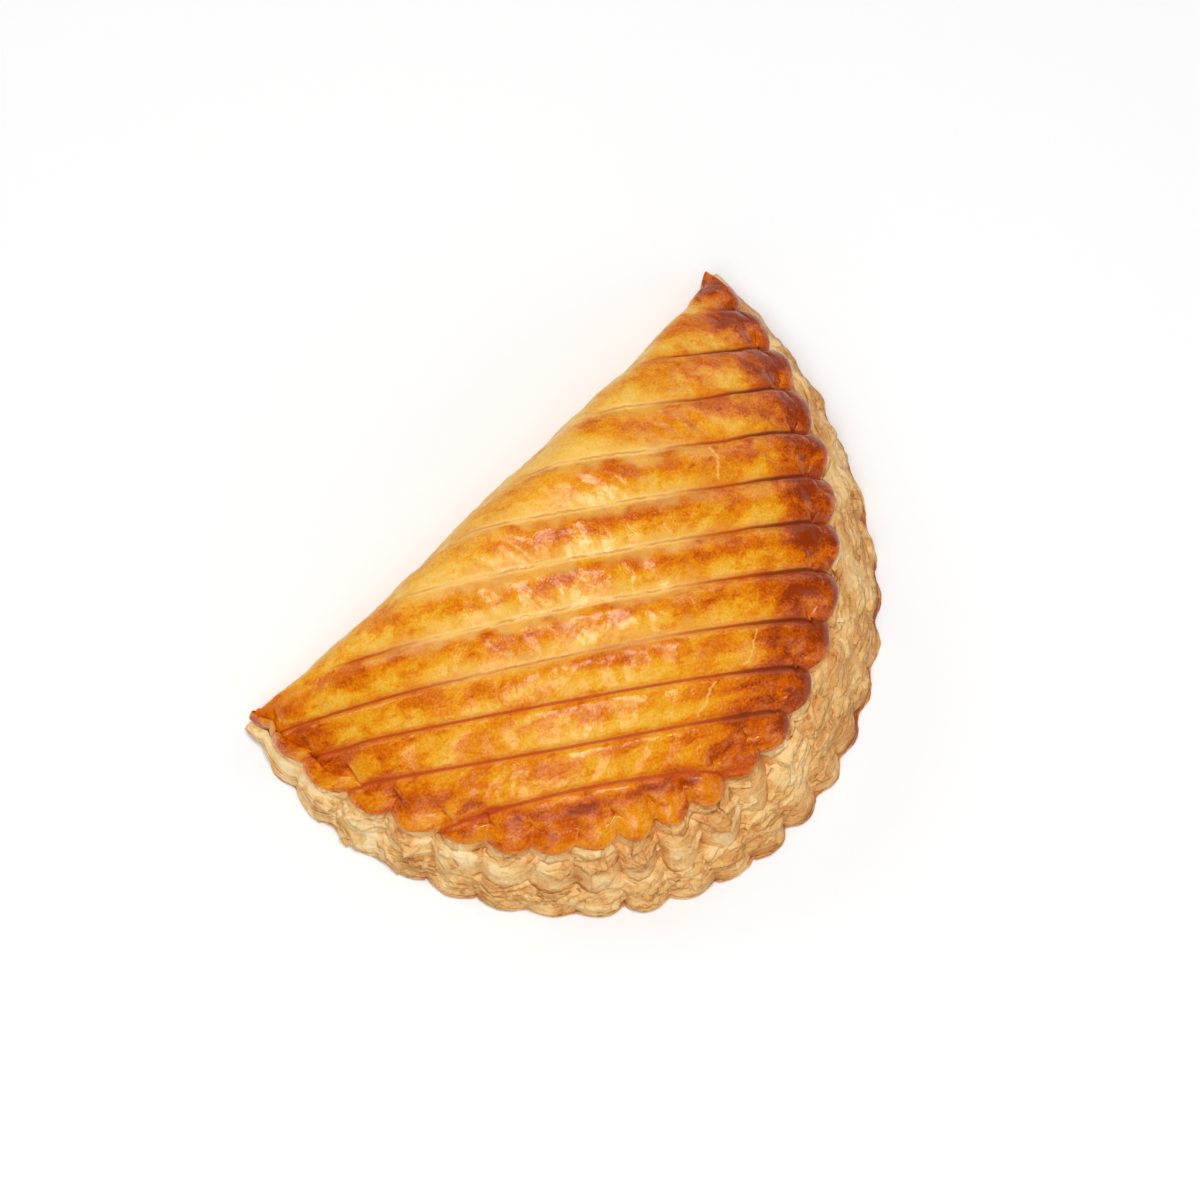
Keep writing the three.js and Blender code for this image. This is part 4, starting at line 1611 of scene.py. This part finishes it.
def pale_leaf_finish(patches, grain, layers):
    """Matt pastry leaves: cream, with tan patches, torn layers and toasted edges, and painted shade under the
    plies, in the creases and along the layer steps.
    """
    material, bench, shader = new_finish("pale pastry leaves")
    place = bench.millimetres()
    oven = bench.group(patches, Place=place, Patch_Scale=LEAF_PATCH_SCALE)
    dough = bench.group(grain, Place=place, Grain_Scale=LEAF_GRAIN_SCALE)
    torn = bench.group(layers, Place=place, Layers_per_Millimetre=LEAF_LAYER_SCALE)
    ragged = bench.ease(bench.noise(place, *LEAF_RAGGED), *LEAF_RAGGED_SPAN)
    flaky = bench.math("MAXIMUM", bench.value("flaky"), bench.times(ragged, RAGGED_FLAKY))
    tan = bench.summed(
        LEAF_TAN,
        (oven["Patches"], LEAF_PATCH_TAN),
        (oven["Spots"], LEAF_SPOT_TAN),
        (torn["Tone"], bench.times(flaky, LAYER_TAN)),
        # torn layer steps darkened: toasted edges and painted shade on the steps
        (torn["Edge"], bench.times(flaky, bench.between(ragged, *LAYER_EDGE_TAN_AND_SHADE))),
        (dough["Shade"], LEAF_GRAIN_TAN),
        (bench.ease(bench.value("edge"), *LEAF_EDGE_SPAN), LEAF_EDGE_TAN),
    )
    # the leaves' toast value holds their toasting together with painted shade under ply edges and in creases
    tan = bench.plus(tan, bench.value("toast"), clamp=True)
    bench.feed(shader.inputs["Base Color"], bench.ramp(tan, LEAF_TONES))
    bench.feed(shader.inputs["Roughness"], bench.between(dough["Shade"], *LEAF_ROUGHNESS))
    height = bench.summed(dough["Height"], (torn["Height"], bench.times(flaky, LAYER_RISE)))
    add_bump(bench, shader, height, LEAF_BUMP_STRENGTH)
    return material


# Lower sheet
SHEET_TONES = ((0.0, srgb(226, 190, 132)), (1.0, srgb(196, 142, 84)))
TRAY_TONES = ((0.0, srgb(206, 140, 70)), (1.0, srgb(150, 84, 36)))
SHEET_PATCH_SCALE = 0.16
SHEET_GRAIN_SCALE = 1.8
TRAY_SPAN = (1.5, 0.5)
TRAY_BROWN = 0.5
TRAY_PATCH_BROWN = 0.6
SHEET_ROUGHNESS = (0.5, 0.7)
SHEET_BUMP_STRENGTH = 0.5


def tray_browned_finish(patches, grain):
    """Lower sheet: cream above, browned where it lay on the tray."""
    material, bench, shader = new_finish("tray browned sheet")
    place = bench.millimetres()
    oven = bench.group(patches, Place=place, Patch_Scale=SHEET_PATCH_SCALE)
    dough = bench.group(grain, Place=place, Grain_Scale=SHEET_GRAIN_SCALE)
    cream = bench.ramp(oven["Patches"], SHEET_TONES)
    browned = bench.ramp(bench.summed(TRAY_BROWN, (oven["Patches"], TRAY_PATCH_BROWN)), TRAY_TONES)
    on_tray = bench.ease(bench.value("height"), *TRAY_SPAN)
    bench.feed(shader.inputs["Base Color"], bench.blend(on_tray, cream, browned))
    bench.feed(shader.inputs["Roughness"], bench.between(dough["Shade"], *SHEET_ROUGHNESS))
    add_bump(bench, shader, dough["Height"], SHEET_BUMP_STRENGTH)
    return material


# Studio

CAMERA_AZIMUTH = -46.46
CAMERA_ELEVATION = 68.5
CAMERA_DISTANCE = 0.87
CAMERA_TARGET = (-3.751, -38.531, 15.0)
CAMERA_LENS = 122.9
SENSOR_WIDTH = 36.0
FLOOR_SIZE = 6.0
FLOOR_TONE = (0.97, 0.97, 0.97, 1.0)
FLOOR_ROUGHNESS = 0.9
ROOM_TONE = (1.0, 1.0, 1.0, 1.0)
ROOM_GLOW = 0.1

# Softboxes: name, azimuth, elevation, distance, size and power
SOFTBOXES = (
    ("overhead softbox", 0.0, 89.0, 1.05, 0.36, 5.5),
    ("front softbox", CAMERA_AZIMUTH - 16.0, 58.0, 1.05, 0.4, 2.5),
    ("left fill softbox", -60.0, 28.0, 1.2, 0.7, 2.2),
    ("near fill softbox", 20.0, 28.0, 1.2, 0.7, 2.2),
    ("right fill softbox", 100.0, 28.0, 1.2, 0.7, 2.2),
    ("back fill softbox", 190.0, 28.0, 1.2, 0.7, 3.4),
)


def direction(azimuth, elevation):
    turn = math.radians(azimuth)
    lift = math.radians(elevation)
    return Vector((math.sin(turn) * math.cos(lift), -math.cos(turn) * math.cos(lift), math.sin(lift)))


def place_facing(name, data, target, back, distance):
    """Puts a camera or a lamp a given way back from its target, looking at it."""
    placed = bpy.data.objects.new(name, data)
    bpy.context.scene.collection.objects.link(placed)
    placed.location = target + back * distance
    placed.rotation_euler = (-back).to_track_quat("-Z", "Y").to_euler()
    return placed


def set_camera():
    data = bpy.data.cameras.new("camera")
    data.lens = CAMERA_LENS
    data.sensor_width = SENSOR_WIDTH
    target = Vector(to_metres(np.array(CAMERA_TARGET)))
    back = direction(CAMERA_AZIMUTH, CAMERA_ELEVATION)
    bpy.context.scene.camera = place_facing("camera", data, target, back, CAMERA_DISTANCE)


def set_studio():
    for name, azimuth, elevation, distance, size, power in SOFTBOXES:
        data = bpy.data.lights.new(name, "AREA")
        data.shape = "SQUARE"
        data.size = size
        data.energy = power
        place_facing(name, data, Vector(), direction(azimuth, elevation), distance)
    world = bpy.data.worlds.new("studio")
    world.use_nodes = True
    background = world.node_tree.nodes["Background"]
    background.inputs["Color"].default_value = ROOM_TONE
    background.inputs["Strength"].default_value = ROOM_GLOW
    bpy.context.scene.world = world
    bpy.context.scene.view_settings.view_transform = "Standard"


def set_floor():
    mesh = bpy.data.meshes.new("floor")
    half = FLOOR_SIZE / 2.0
    corners = [(-half, -half), (half, -half), (half, half), (-half, half)]
    mesh.from_pydata([(x, y, FLOOR_HEIGHT) for x, y in corners], [], [(0, 1, 2, 3)])
    material, bench, shader = new_finish("pale studio floor")
    bench.fill(shader, {"Base Color": FLOOR_TONE, "Roughness": FLOOR_ROUGHNESS})
    mesh.materials.append(material)
    floor = bpy.data.objects.new("floor", mesh)
    bpy.context.scene.collection.objects.link(floor)


def build():
    set_camera()
    set_studio()
    set_floor()
    patches = oven_patches_group()
    grain = pastry_grain_group()
    glazed_top(glazed_crust_finish(patches, grain))
    lower_sheet(tray_browned_finish(patches, grain))
    leaf_finish = pale_leaf_finish(patches, grain, torn_layers_group())
    faces = side_leaves(leaf_finish)
    loose_flakes(leaf_finish, faces)


build()
